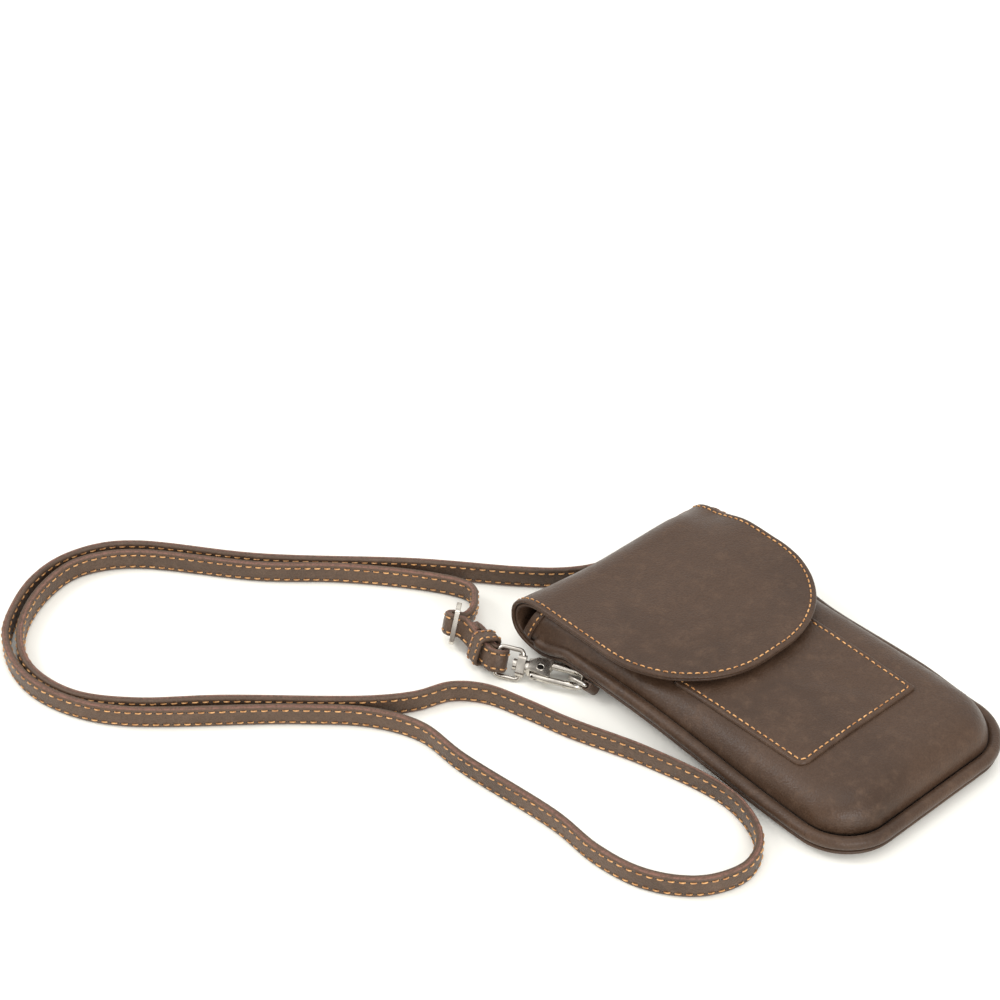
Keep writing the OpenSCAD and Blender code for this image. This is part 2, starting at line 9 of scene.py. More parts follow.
import bmesh
import bpy
import numpy as np
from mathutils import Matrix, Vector


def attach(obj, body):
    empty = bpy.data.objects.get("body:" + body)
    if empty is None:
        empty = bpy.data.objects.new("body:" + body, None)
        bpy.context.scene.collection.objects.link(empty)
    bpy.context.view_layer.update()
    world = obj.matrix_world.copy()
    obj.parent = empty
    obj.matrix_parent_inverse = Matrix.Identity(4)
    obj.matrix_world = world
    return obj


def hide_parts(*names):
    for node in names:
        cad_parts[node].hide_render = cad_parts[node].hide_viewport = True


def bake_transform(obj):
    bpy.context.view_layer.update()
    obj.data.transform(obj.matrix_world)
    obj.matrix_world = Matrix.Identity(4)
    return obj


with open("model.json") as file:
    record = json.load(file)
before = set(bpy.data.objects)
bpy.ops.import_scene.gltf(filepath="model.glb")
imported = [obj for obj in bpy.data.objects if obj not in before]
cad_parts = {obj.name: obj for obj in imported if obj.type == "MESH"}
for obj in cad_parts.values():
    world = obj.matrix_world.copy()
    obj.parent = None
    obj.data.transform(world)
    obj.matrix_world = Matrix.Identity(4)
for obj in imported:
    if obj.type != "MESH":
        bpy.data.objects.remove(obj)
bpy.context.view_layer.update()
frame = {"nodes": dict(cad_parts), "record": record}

# The photograph's view: turned about Z from looking along +Y, raised, and away from a target
VIEW_TURN = -42.651
VIEW_RISE = 38.036
VIEW_AWAY = 1.21159
VIEW_TARGET = (0.009155, 0.164663, 0.0)
VIEW_LENS = 100.8

# The pouch, as in the part's source
HALF_W = 0.052
FOOT_Y = -0.090
CORNER_R = 0.0245
FRONT_Z = 0.0214
SEAM_Z = 0.0075
LEATHER_T = 0.0016
LINING_T = 0.0012
ROLL_R = 0.0027
SEAM_LIFT = 0.0054
FOLD_R = 0.0145
FOLD_Y = 0.0755
MOUTH_Y = 0.0816
BACK_EDGE = 0.001
BACK_EDGE_Z = 0.0029
BELLY_W = 0.018
GROOVE = 0.0055
CROWN_W = 0.023
CROWN_FOOT = SEAM_Z + ROLL_R * 0.1
BACK_INNER, BACK_OUTER = 0.0185, 0.0012
ROLL_PAST_FOLD = 0.003
FIT_GAP = 0.000312
SKIN_GAP = 0.0001

# The seam's height along the sides. A stretch is (its start, its length).
SEAM_START = FOOT_Y + CORNER_R
SEAM_RISES = (SEAM_START, 0.0954)
SEAM_FALLS = (0.0594, FOLD_Y - 0.0594)
SEAM_END_SHARE = 0.255
FAR_LIFT, FAR_LIFTS = 0.0022, (SEAM_START, 0.03)
FAR_SAG, FAR_SAGS = 0.001, (-0.03, 0.035)
FAR_RISES = (0.008, 0.036)
FAR_FALL_SHARE = 0.2

# The front's rounded edge, its puff and the slant of its mouth
CORNER_TIGHTEN = 0.66
MOUTH_SLANT, MOUTH_SLANTS = 0.0045, (0.06, 0.021)
SQUEEZE_FAR, SQUEEZE_NEAR = 0.12, 0.6
SQUEEZE_ALONG, SQUEEZE_ACROSS = (0.02, 0.055), (0.004, 0.02)
SIDE_WAVE, SIDE_WAVE_L, SIDE_WAVE_SEED, SIDE_WAVES = 0.0007, 0.05, 21, (0.022, 0.012)
PUFF, PUFF_HALF, PUFFS = 0.0005, 0.042, (FOOT_Y, 0.05)
FRONT_UNEVEN = ((0.00022, 0.045, 11), (0.0001, 0.014, 12))

# The flap and the fold, one sheet of leather
FLAP_HALF = 0.051
FLAP_R = 0.046
FLAP_TIP = -0.0048
FLAP_DROP = 0.0013
FOLD_LENGTH = math.pi * FOLD_R
FLAP_LENGTH = FOLD_Y - FLAP_TIP
FLAP_ROW, FLAP_ROW_SUNK, FLAP_BEAD = 0.0023, 0.00012, 0.00012
FLAP_INNER, FLAP_LINING_INNER = 0.014, 0.012
FLAP_LINING_T = 0.0013
FLAP_LINING_INSET = 0.0007
FLAP_LINING_GAP = 0.0003
DROOP, DROOP_ACROSS, DROOP_ALONG = 0.006, (0.55, 0.45), (0.056, 0.026)
DIP, DIP_ALONG = 0.0014, (0.04, 0.036)
FLAP_UNEVEN = ((0.0003, 0.055, 5), (0.00008, 0.016, 6))
FOLD_LIFT_NEAR, FOLD_LIFT_FAR = 0.0037, 0.0092
FOLD_BULGE, FOLD_BULGES = 0.0031, (0.15, 0.85)
FOLD_PULL_FAR, FOLD_PULL_MIDDLE = 0.001, 0.0005
FOLD_OVAL, FOLD_OVAL_NEAR = 2.05, 0.6

# The card pocket
POCKET_LEFT = -0.0365
POCKET_RIGHT = 0.0285
POCKET_FOOT = -0.052
POCKET_TOP = 0.014
POCKET_T = 0.0013
POCKET_TAPER = 0.0013
POCKET_HALF = (POCKET_RIGHT - POCKET_LEFT) / 2
POCKET_L = POCKET_TOP - POCKET_FOOT
POCKET_ROW, POCKET_ROW_SUNK = 0.0021, 0.0002
POCKET_UNEVEN = (0.0001, 0.02, 31)

# The strap. Its route is groups of points that it passes with one lean, from the far clasp over
# the table to the near one.
STRAP_W = 0.0092
STRAP_T = 0.0028
STRAP_STEP = 0.0016
STRAP_ROW = 0.00295
ROW_SUNK = 0.00002
UPRIGHT, ALONG_Y = (0, 0, 1), (0, 1, 0)
TIPPED = (0.05, 0, 1)
LEANING = (0.3, 0, 1)
LEANING_FAR = (-0.25, 0, 1)
IN_SLIDER = (0.43, 0.14, 1)
IN_KEEPER = (0.32, -0.05, 1)
IN_KEEPER_FAR = (-0.3, -0.11, 1)
ON_BAR = (0.57, 0.26, 1)
ON_BAR_FAR = (-0.61, 0.14, 1)
TABLE_Z = 0.0048
ON_TABLE = [(0.045, 0.0958), (0.034, 0.095), (0.014, 0.0943), (0, 0.0975), (-0.012, 0.105),
    (-0.024, 0.117), (-0.051, 0.149), (-0.098, 0.197), (-0.13, 0.238), (-0.143, 0.2475),
    (-0.16, 0.2515), (-0.176, 0.2485), (-0.191, 0.24), (-0.2035, 0.2285), (-0.211, 0.212),
    (-0.2125, 0.196), (-0.208, 0.178), (-0.197, 0.16), (-0.145, 0.1135), (-0.125, 0.092),
    (-0.1165, 0.073), (-0.1165, 0.05), (-0.112, 0.002), (-0.113, -0.02), (-0.11, -0.038),
    (-0.103, -0.051), (-0.093, -0.06), (-0.078, -0.064), (-0.0655, -0.0585), (-0.058, -0.046),
    (-0.0555, -0.03), (-0.062, 0.004), (-0.073, 0.037), (-0.0775, 0.055), (-0.0835, 0.073),
    (-0.0925, 0.083), (-0.106, 0.088), (-0.121, 0.098), (-0.1645, 0.1385), (-0.19, 0.16),
    (-0.204, 0.178), (-0.2085, 0.195), (-0.207, 0.21), (-0.199, 0.225), (-0.187, 0.236),
    (-0.172, 0.2435), (-0.158, 0.246), (-0.146, 0.2425), (-0.133, 0.233), (-0.101, 0.1925),
    (-0.077, 0.169), (-0.056, 0.143), (-0.048, 0.13)]
ROUTE = [
    (IN_KEEPER_FAR, [(0.0589, 0.0896, 0.00675), (0.0592, 0.0862, 0.00585)]),
    (ON_BAR_FAR, [(0.0587, 0.0817, 0.00505), (0.0604, 0.0803, 0.00645), (0.0622, 0.0802, 0.00755),
                  (0.0637, 0.0817, 0.00805), (0.064, 0.0839, 0.00745)]),
    (IN_KEEPER_FAR, [(0.0637, 0.0876, 0.00665)]),
    (LEANING_FAR, [(0.0614, 0.0924, 0.0056)]),
    (TIPPED, [(0.054, 0.0956, 0.0049)]),
    (UPRIGHT, [(x, y, TABLE_Z) for x, y in ON_TABLE]),
    (UPRIGHT, [(-0.046, 0.1235, 0.005)]),
    (TIPPED, [(-0.0475, 0.1188, 0.0054), (-0.0505, 0.1154, 0.0062)]),
    (LEANING, [(-0.055, 0.1115, 0.007), (-0.0596, 0.1086, 0.0076)]),
    (IN_SLIDER, [(-0.0635, 0.108, 0.0077), (-0.0655, 0.1101, 0.0082), (-0.0665, 0.1116, 0.0085),
                 (-0.0692, 0.1114, 0.0096), (-0.0697, 0.1084, 0.0102), (-0.0686, 0.1072, 0.01),
                 (-0.0667, 0.1049, 0.0095)]),
    (IN_KEEPER, [(-0.0682, 0.0935, 0.008), (-0.0699, 0.086, 0.0079)]),
    (ON_BAR, [(-0.0703, 0.0832, 0.008), (-0.0697, 0.0814, 0.0083), (-0.068, 0.0802, 0.0077),
              (-0.0662, 0.0805, 0.0066), (-0.0647, 0.0823, 0.0057), (-0.0652, 0.0844, 0.006)]),
    (IN_KEEPER, [(-0.0667, 0.0872, 0.0069), (-0.0649, 0.0928, 0.0069), (-0.0636, 0.0987, 0.0074),
                 (-0.0642, 0.1011, 0.0081), (-0.066, 0.0998, 0.0088), (-0.0664, 0.0976, 0.0085)]),
]

# The bound mouth. Its line and its row of stitches are (inset from the mouth, lift).
BINDING_W, BINDING_T, BINDING_CORNER = 0.0042, 0.0011, 0.0004
BINDING_AT, BINDING_ROW_AT = (0.0018, 0.0003), (0.0027, 0.00085)

# The keeper, a leather loop round the strap's doubled end
KEEPER_AT = (-0.067314, 0.091152, 0.007544)
KEEPER_TURN = (-5, -72, -9)
KEEPER_L = 0.006992
KEEPER_T = 0.0012
KEEPER_WIDE = STRAP_W + 0.00254
KEEPER_TALL = STRAP_T * 2.3 + 0.00274
KEEPER_CORNER, KEEPER_T_CORNER = 0.0016, 0.00045
KEEPER_ROW = 0.0013
KEEPER_SAG = 0.05

# Stitches, in their own sizes. A stitch is a thread with six rings: their places along it, and
# their shares of its thickness and of its height over the leather.
FLAP_PITCH = 0.0031
STRAP_PITCH = 0.0041
KEEPER_PITCH = 0.0029
THREAD_D = 0.00066
THREAD_SIDES = 6
THREAD_FLAT = 0.85
RING_PLACES = np.array([-0.5, -0.38, -0.16, 0.16, 0.38, 0.5])
RING_SHARES = np.array([0.5, 0.9, 1.0, 1.0, 0.9, 0.5])
RING_RISES = np.array([-1.6, 0.2, 1.0, 1.0, 0.2, -1.6])
# A low near-black disc at each stitch end is painted shade for the needle's hole: its radius, the
# share of it at its top, how far it sits out along the row, and its depth under and rise over the
# leather.
HOLE_R = THREAD_D * 0.52
HOLE_TOP_SHARE = 0.9
HOLE_AHEAD_SHARE = 0.03
HOLE_BELOW, HOLE_ABOVE = 0.0001, 0.00004

# A row's groove in the leather: distances from the row and depths. Outside it lies a bead.
PRESSED = ((0.0011, 0.0), (0.0006, 0.00003), (0.0, 0.00022), (-0.0006, 0.00003))
BEAD_ASIDE = 0.001

# The gate pin's rim and centre, and the punch mark on the near gate
RIM_R, RIM_AT, RIM_WIRE = 0.0015, 0.00216, 0.00032
PIN_R, PIN_FOOT, PIN_SHOULDER, PIN_TOP = 0.00135, 0.0019, 0.00232, 0.0024
PIN_TOP_R = 0.0012
MARK_R, MARK_FOOT, MARK_TOP = 0.00042, -0.0004, 0.00005
MARK_FACES = (-0.656, -0.46, 0.598)
MARK_AT = (-0.06379, 0.06695, 0.00601)

# Points closer than this are one, and no radius is less than the second
MERGE = 2e-6
POLE = 1e-8


def ease(t):
    """0 before 0, 1 after 1, and a smooth S between."""
    t = np.clip(t, 0, 1)
    return t * t * (3 - 2 * t)


def ramp(t, stretch):
    """0 before a stretch, 1 after it and a smooth S along it."""
    start, length = stretch
    return ease((t - start) / length)


def seam_rise(x, y):
    """How far the side seam stands over its height at the closed end. The near side rises on one
    ramp and falls on another at the fold. The far side lifts a little, sags, joins the near
    side's ramp under the flap, and goes up by a share of the fall."""
    rise = SEAM_LIFT * ramp(y, SEAM_RISES)
    end = SEAM_Z + SEAM_LIFT - ROLL_R - LEATHER_T - FIT_GAP - FOLD_R * SEAM_END_SHARE
    fall = end * ramp(y, SEAM_FALLS)
    low = FAR_LIFT * ramp(y, FAR_LIFTS) - FAR_SAG * ramp(y, FAR_SAGS)
    far = low + (rise - low) * ramp(y, FAR_RISES) + FAR_FALL_SHARE * fall
    return np.where(x > 0, far, rise - fall)


def waves(x, y, size, seed):
    """A smooth uneven field between about -1 and 1: eight crossing sine waves of near lengths, in
    directions and phases drawn from the seed."""
    rng = np.random.default_rng(seed)
    total = np.zeros(np.broadcast(x, y).shape)
    for turn, reach, phase in zip(rng.uniform(0, math.pi, 8), rng.uniform(0.6, 1.6, 8),
                                  rng.uniform(0, 2 * math.pi, 8)):
        across = x * math.cos(turn) + y * math.sin(turn)
        total = total + np.sin(across * 2 * math.pi / (size * reach) + phase)
    return total / 4


def uneven(x, y, kinds):
    """The sum of several fields of waves. Each kind is (height, size, seed)."""
    return sum(height * waves(x, y, size, seed) for height, size, seed in kinds)


def unit(v):
    """Vectors divided by their lengths."""
    return v / np.maximum(np.linalg.norm(v, axis=-1, keepdims=True), 1e-12)


def new_object(name, data):
    """The object of a mesh, camera or lamp, linked to the scene."""
    made = bpy.data.objects.new(name, data)
    bpy.context.scene.collection.objects.link(made)
    return made


def add_piece(name, mesh, body):
    """The object of a mesh, on the body that it rides on where one is given."""
    piece = new_object(name, mesh)
    if body:
        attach(piece, body)
    return piece


def shade_smooth(mesh):
    """Every face of a mesh is shaded smooth."""
    mesh.polygons.foreach_set("use_smooth", np.ones(len(mesh.polygons), bool))


def close_mesh(mesh, merge=0.0):
    """Merges a mesh's points that are nearer than merge, and turns its faces outwards."""
    work = bmesh.new()
    work.from_mesh(mesh)
    if merge:
        bmesh.ops.remove_doubles(work, verts=work.verts, dist=merge)
        bmesh.ops.dissolve_degenerate(work, edges=work.edges, dist=merge / 2)
    bmesh.ops.recalc_face_normals(work, faces=work.faces)
    work.to_mesh(mesh)
    work.free()
    shade_smooth(mesh)


def new_piece(name, patches, material, body=None):
    """One closed mesh from patches. A patch is a grid of points, rows by columns, with its UVs.
    Grids that share an edge are merged there, and the faces are turned outwards."""
    verts, faces, uvs, start = [], [], [], 0
    for points, uv in patches:
        rows, cols = points.shape[:2]
        a = np.arange(rows - 1)[:, None] * cols + np.arange(cols - 1)[None, :] + start
        faces.append(np.stack([a, a + 1, a + cols + 1, a + cols], -1).reshape(-1, 4))
        verts.append(points.reshape(-1, 3))
        uvs.append(uv.reshape(-1, 2))
        start += rows * cols
    verts, faces, uvs = np.concatenate(verts), np.concatenate(faces), np.concatenate(uvs)
    mesh = bpy.data.meshes.new(name)
    mesh.from_pydata(verts.tolist(), [], faces.tolist())
    layer = mesh.uv_layers.new(name="UVMap")
    layer.data.foreach_set("uv", uvs[faces.ravel()].astype(np.float32).ravel())
    close_mesh(mesh, MERGE)
    mesh.materials.append(material)
    return add_piece(name, mesh, body)


def with_uv(points):
    """A grid of points with UVs that follow its own rows and columns in metres."""
    du = np.linalg.norm(np.diff(points, axis=1), axis=-1)
    dv = np.linalg.norm(np.diff(points, axis=0), axis=-1)
    u = np.concatenate([np.zeros((points.shape[0], 1)), np.cumsum(du, 1)], 1)
    v = np.concatenate([np.zeros((1, points.shape[1])), np.cumsum(dv, 0)], 0)
    return points, np.stack([u, v], -1)


def u_line(left, right, foot, r_left, r_right, top, counts):
    """A U in the plane, from the top of its left side round two quarter-circle corners to the top
    of its right side. counts are the steps on a side, in a corner and along the foot."""
    side, corner, base = counts
    down = np.linspace(0, 1, side, endpoint=False)[:, None]
    turn = np.linspace(0, math.pi / 2, corner, endpoint=False)[:, None]
    along = np.linspace(0, 1, base, endpoint=False)[:, None]
    start, corner_l = np.array([left, top]), np.array([left, foot + r_left])
    corner_r, end = np.array([right, foot + r_right]), np.array([right, top])
    foot_l, foot_r = np.array([left + r_left, foot]), np.array([right - r_right, foot])
    ring_l = np.array([left + r_left, foot + r_left])
    ring_r = np.array([right - r_right, foot + r_right])
    return np.concatenate([
        start + (corner_l - start) * down,
        ring_l - r_left * np.concatenate([np.cos(turn), np.sin(turn)], 1),
        foot_l + (foot_r - foot_l) * along,
        ring_r + r_right * np.concatenate([np.sin(turn), -np.cos(turn)], 1),
        corner_r + (end - corner_r) * np.concatenate([down, [[1.0]]]),
    ])


def u_sheet(outline, levels, place, counts, tighten=1.0):
    """Patches of a thick sheet with a U outline. Each level is (inset, height): the outline is
    drawn in by the inset, its corners lose tighten times the inset, and place(points, height)
    puts it in space. The levels run from the middle of one face over the edge to the middle of
    the other. Inside the first and the last, straight rows join the two sides, and a rim closes
    the open end."""
    left, right, foot, r_left, r_right, top = outline
    side, corner, base = counts
    flats = [u_line(left + i, right - i, foot + i, max(r_left - i * tighten, 0.0002),
                    max(r_right - i * tighten, 0.0002), top, counts) for i, _ in levels]
    rings = np.stack([place(flat, height) for flat, (_, height) in zip(flats, levels)])
    patches = [with_uv(rings)]
    rows, n = side + corner + 1, rings.shape[1]
    share = np.linspace(0, 1, base + 1)[None, :, None]
    ends = []
    for which in (0, -1):
        flat = flats[which]
        first, last = flat[:rows, None], flat[::-1][:rows, None]
        inner = first + (last - first) * share
        inner[-1] = flat[rows - 1:rows + base]
        middle = place(inner, levels[which][1])
        patches.append(with_uv(middle))
        ends.append(middle[0])
    half = len(levels) // 2
    front = np.concatenate([rings[half - 1::-1, 0], ends[0][1:], rings[1:half, -1]])
    back = np.concatenate([rings[half:, 0], ends[1][1:], rings[-2:half - 1:-1, -1]])
    patches.append(with_uv(np.stack([front, (front + back) / 2, back])))
    return patches


def edge_levels(thickness, inner, groove=None, bead=0.0):
    """Levels of a sheet of even thickness whose edge is a half circle. groove is the inset of a
    row of stitches, pressed a little into the face, and bead is the swell outside it."""
    r = thickness / 2
    face = [(inner, 0.0), (inner * 0.6, 0.0), (inner * 0.35, 0.0)]
    if groove:
        face += [(groove + aside, depth) for aside, depth in PRESSED]
        face.append((groove - BEAD_ASIDE, -bead))
    arc = [(r * (1 - math.cos(a)), r * (1 - math.sin(a)))
           for a in np.radians([90, 68, 45, 22, 0, -22, -45, -68, -90])]
    back = [(i, thickness) for i, _ in face[::-1]]
    return face + arc[:4] + [arc[4], arc[4]] + arc[5:] + back


def surface_frame(flat, at, step=2e-4):
    """Points of a surface at(x, q) over flat points, with its unit normals from its two slopes."""
    x, q = flat[..., 0], flat[..., 1]
    along_x = at(x + step, q) - at(x - step, q)
    along_q = at(x, q + step) - at(x, q - step)
    return at(x, q), unit(np.cross(along_x, along_q))


def sheet_on(at, side=-1, lift=0.0):
    """A place function: the height and a lift count down from a surface's outer face, or up from
    it where side is 1."""
    def place(flat, height):
        """Flat points moved to the surface, and along its normals."""
        points, normals = surface_frame(flat, at)
        return points + normals * side * (height + lift)
    return place


def closed(loop):
    """A loop with its first point again at its end."""
    return np.concatenate([loop, loop[:1]])


def path_frame(points, across):
    """Unit directions along a path: ahead, the across direction made square to it, and the
    direction square to both."""
    ahead = unit(np.gradient(points, axis=0))
    wide = unit(across - ahead * np.sum(across * ahead, -1, keepdims=True))
    return ahead, wide, np.cross(ahead, wide)


def ribbon(points, across, section):
    """A closed section carried along points: its first number runs along the across direction, its
    second square to that and to the path. The ends are closed by fans."""
    _, wide, thin = path_frame(points, across)
    loop = closed(section)
    body = points[:, None] + wide[:, None] * loop[:, :1] + thin[:, None] * loop[:, 1:]
    patches = [with_uv(body)]
    for end in (0, -1):
        patches.append(with_uv(np.stack([body[end], np.repeat(points[end][None], len(loop), 0)])))
    return patches


def smooth_path(points, step, samples=12000):
    """A smooth curve through points, cubic between neighbours with slopes set by the distances on
    each side, sampled at an even step along its length."""
    gap = np.sqrt(np.maximum(np.linalg.norm(np.diff(points[:, :3], axis=0), axis=1), 1e-9))
    knot = np.concatenate([[0], np.cumsum(gap)])
    slope = np.empty_like(points)
    secant = np.diff(points, axis=0) / gap[:, None]
    slope[0], slope[-1] = secant[0], secant[-1]
    before, after = gap[:-1, None], gap[1:, None]
    slope[1:-1] = (secant[:-1] * after + secant[1:] * before) / (before + after)
    fine = np.linspace(0, knot[-1], samples)
    i = np.clip(np.searchsorted(knot, fine, "right") - 1, 0, len(gap) - 1)
    h = gap[i][:, None]
    t = (fine[:, None] - knot[i][:, None]) / h
    path = ((2 * t ** 3 - 3 * t ** 2 + 1) * points[i] + (t ** 3 - 2 * t ** 2 + t) * h * slope[i]
            + (3 * t ** 2 - 2 * t ** 3) * points[i + 1] + (t ** 3 - t ** 2) * h * slope[i + 1])
    return even_steps(path, step)


def even_steps(path, step):
    """The same line with points an even step apart. Columns after the third are carried along."""
    run = np.concatenate([[0], np.cumsum(np.linalg.norm(np.diff(path[:, :3], axis=0), axis=1))])
    at = np.linspace(0, run[-1], max(int(round(run[-1] / step)) + 1, 3))
    return np.stack([np.interp(at, run, path[:, c]) for c in range(path.shape[1])], 1)


def stitches(name, path, normals, pitch, share=0.74, sink=0.00022, body=None, slant=0.0):
    """A row of stitches. Each is a short thread of six rings that rises from the leather, lies
    along the path and goes in again, so its ends are thin and sunk. A low near-black disc at each
    end is painted shade, standing for the shadowed needle's hole."""
    normals = np.broadcast_to(normals, path.shape)
    line = even_steps(np.concatenate([path, normals], 1), pitch / 8)
    run = np.arange(len(line)) * np.linalg.norm(line[1, :3] - line[0, :3])
    count = max(int(run[-1] / pitch), 1)
    middle = (np.arange(count) + 0.5) * run[-1] / count
    at = middle[:, None] + RING_PLACES * pitch * share
    pick = [np.interp(at, run, line[:, c]) for c in range(6)]
    centre, up = np.stack(pick[:3], -1), unit(np.stack(pick[3:], -1))
    ahead = unit(np.gradient(centre, axis=1))
    aside = unit(np.cross(up, ahead))
    radius = THREAD_D / 2 * RING_SHARES
    rise = sink * RING_RISES
    centre = centre + up * rise[:, None]
    centre = centre + aside * (RING_PLACES * pitch * share * slant)[:, None]
    rings, sides = len(RING_PLACES), THREAD_SIDES
    turn = np.linspace(0, 2 * math.pi, sides, endpoint=False)
    cos, sin = np.cos(turn)[:, None], np.sin(turn)[:, None]
    ring = aside[:, :, None] * cos + up[:, :, None] * sin * THREAD_FLAT
    verts = (centre[:, :, None] + ring * radius[:, None, None]).reshape(-1, 3)
    k = np.arange(sides)
    a = (np.arange(rings - 1)[:, None] * sides + k).ravel()
    b = (np.arange(rings - 1)[:, None] * sides + (k + 1) % sides).ravel()
    each = (np.arange(count) * rings * sides)[:, None, None]
    faces = (np.stack([a, a + sides, b + sides, b], -1) + each).reshape(-1, 4)
    caps = (np.stack([k, (rings - 1) * sides + k[::-1]]) + each).reshape(-1, sides)

    centre, up, ahead, aside = [v[:, [0, -1]] for v in (centre, up, ahead, aside)]
    outwards = np.array([-HOLE_AHEAD_SHARE, HOLE_AHEAD_SHARE]) * pitch
    holes = centre - up * rise[0] + ahead * outwards[:, None]
    flat = (aside[:, :, None] * cos + ahead[:, :, None] * sin) * HOLE_R
    low = holes[:, :, None] + flat - up[:, :, None] * HOLE_BELOW
    high = holes[:, :, None] + flat * HOLE_TOP_SHARE + up[:, :, None] * HOLE_ABOVE
    discs = np.stack([low, high], 2).reshape(-1, 3)
    wall = np.stack([k, (k + 1) % sides, (k + 1) % sides + sides, k + sides], -1)
    first = (len(verts) + np.arange(count * 2) * 2 * sides)[:, None, None]
    walls = (wall + first).reshape(-1, 4)
    lids = (np.stack([k[::-1], k + sides]) + first).reshape(-1, sides)
    mesh = bpy.data.meshes.new(name)
    mesh.from_pydata(np.concatenate([verts, discs]).tolist(), [],
                     faces.tolist() + caps.tolist() + walls.tolist() + lids.tolist())
    close_mesh(mesh)
    mesh.materials.append(THREAD)
    mesh.materials.append(HOLE_SHADE)
    # The needle-hole discs take the painted hole shade.
    dark = np.zeros(len(mesh.polygons), np.int32)
    dark[len(faces) + len(caps):] = 1
    mesh.polygons.foreach_set("material_index", dark)
    return add_piece(name, mesh, body)


class Nodes:
    """A small hand for node trees: it adds nodes, sets their values and links them."""

    def __init__(self, name):
        """An empty material: its shader, output and texture coordinates."""
        self.material = bpy.data.materials.new(name)
        self.material.use_nodes = True
        self.tree = self.material.node_tree
        self.tree.nodes.clear()
        self.out = self.tree.nodes.new("ShaderNodeOutputMaterial")
        self.shader = self.tree.nodes.new("ShaderNodeBsdfPrincipled")
        self.tree.links.new(self.shader.outputs[0], self.out.inputs[0])
        self.coords = self.tree.nodes.new("ShaderNodeTexCoord")

    def add(self, kind, values=None, **settings):
        """A node of a kind, with its settings and the values of its inputs."""
        node = self.tree.nodes.new("ShaderNode" + kind)
        for key, value in settings.items():
            setattr(node, key, value)
        for key, value in (values or {}).items():
            self.put(node.inputs[key], value)
        return node

    def put(self, socket, value):
        """A socket's value, or a link to it from another node's output."""
        if isinstance(value, bpy.types.NodeSocket):
            self.tree.links.new(value, socket)
        else:
            socket.default_value = value

    def noise(self, scale, detail, rough, distortion=0.0):
        """Clouds, with as many per metre as the scale."""
        return self.add("TexNoise", {"Vector": self.coords.outputs["Object"],
                                     "Scale": scale, "Detail": detail, "Roughness": rough,
                                     "Distortion": distortion}).outputs["Fac"]

    def cells(self, scale):
        """Rounded cells: the distance from the middle of each."""
        return self.add("TexVoronoi", {"Vector": self.coords.outputs["Object"],
                                       "Scale": scale}, feature="SMOOTH_F1").outputs["Distance"]

    def threads(self, scale, direction, distortion=0.0):
        """Parallel bands, as many per metre as the scale."""
        return self.add("TexWave", {"Vector": self.coords.outputs["Object"], "Scale": scale,
                                    "Distortion": distortion},
                        bands_direction=direction).outputs["Fac"]

    def remap(self, value, a, b, c, d):
        """A smooth step from c at a to d at b."""
        return self.add("MapRange", {"Value": value, "From Min": a, "From Max": b, "To Min": c,
                                     "To Max": d}, interpolation_type="SMOOTHSTEP").outputs[0]

    def mix(self, factor, a, b):
        """A colour between a and b."""
        node = self.add("Mix", data_type="RGBA", blend_type="MIX")
        for socket, value in zip((node.inputs[0], node.inputs[6], node.inputs[7]), (factor, a, b)):
            self.put(socket, value)
        return node.outputs[2]

    def math(self, kind, a, b):
        """One sum on two values."""
        return self.add("Math", {0: a, 1: b}, operation=kind).outputs[0]

    def bump(self, height, strength, distance, under=None):
        """A normal tipped by a height, over another normal where one is given."""
        values = {"Height": height, "Strength": strength, "Distance": distance}
        if under is not None:
            values["Normal"] = under
        return self.add("Bump", values).outputs[0]

    def finish(self, **values):
        """The material, with the shader's inputs set or linked."""
        for key, value in values.items():
            self.put(self.shader.inputs[key.replace("_", " ")], value)
        return self.material


def leather(name, dark, mid, light, edge=None, grain=0.55):
    """Smooth drummed leather: a fine pebble of uneven cells, soft pull lines, clouds of two browns
    and small paler scuffs. edge is the raw colour of the strap's narrow sides, where U runs round
    the strap and comes back to a side every 6 mm or so."""
    n = Nodes(name)
    clouds = n.noise(22.0, 4.0, 0.55)
    spots = n.noise(190.0, 4.0, 0.62)
    pebble = n.cells(1300.0)
    pores = n.noise(2600.0, 3.0, 0.55)
    pulls = n.noise(80.0, 5.0, 0.62, distortion=0.8)
    colour = n.mix(n.remap(clouds, 0.25, 0.6, 0.0, 1.0), dark, mid)
    colour = n.mix(n.remap(spots, 0.45, 0.78, 0.0, 0.5), colour, light)
    colour = n.mix(n.remap(pebble, 0.3, 0.75, 0.0, 0.42), colour, dark)
    colour = n.mix(n.remap(pores, 0.5, 0.8, 0.0, 0.3), colour, light)
    height = n.math("ADD", n.math("MULTIPLY", pebble, -0.9), n.math("MULTIPLY", pores, 0.5))
    normal = n.bump(pulls, 0.3 * grain, 0.0008)
    normal = n.bump(height, 0.9 * grain, 0.00026, normal)
    roughness = n.math("ADD", n.remap(spots, 0.3, 0.75, 0.36, 0.5),
                       n.remap(pores, 0.35, 0.7, -0.06, 0.08))
    if edge is not None:
        split = n.add("SeparateXYZ", {0: n.coords.outputs["UV"]}).outputs[0]
        near = n.math("PINGPONG", split, 0.006)
        raw = n.remap(near, 0.00105, 0.00155, 1.0, 0.0)
        line = n.remap(near, 0.00008, 0.00026, 1.0, 0.0)
        fibres = n.noise(900.0, 4.0, 0.7)
        bare = n.mix(n.remap(fibres, 0.35, 0.7, 0.0, 1.0), edge, mid)
        bare = n.mix(n.math("MULTIPLY", line, 0.75), bare, dark)
        colour = n.mix(raw, colour, bare)
        roughness = n.math("ADD", roughness, n.math("MULTIPLY", raw, 0.2))
        normal = n.bump(line, 0.9, 0.0003, normal)
    return n.finish(Base_Color=colour, Roughness=roughness, Normal=normal, Sheen_Weight=0.03,
                    Sheen_Roughness=0.5, Specular_IOR_Level=0.3)


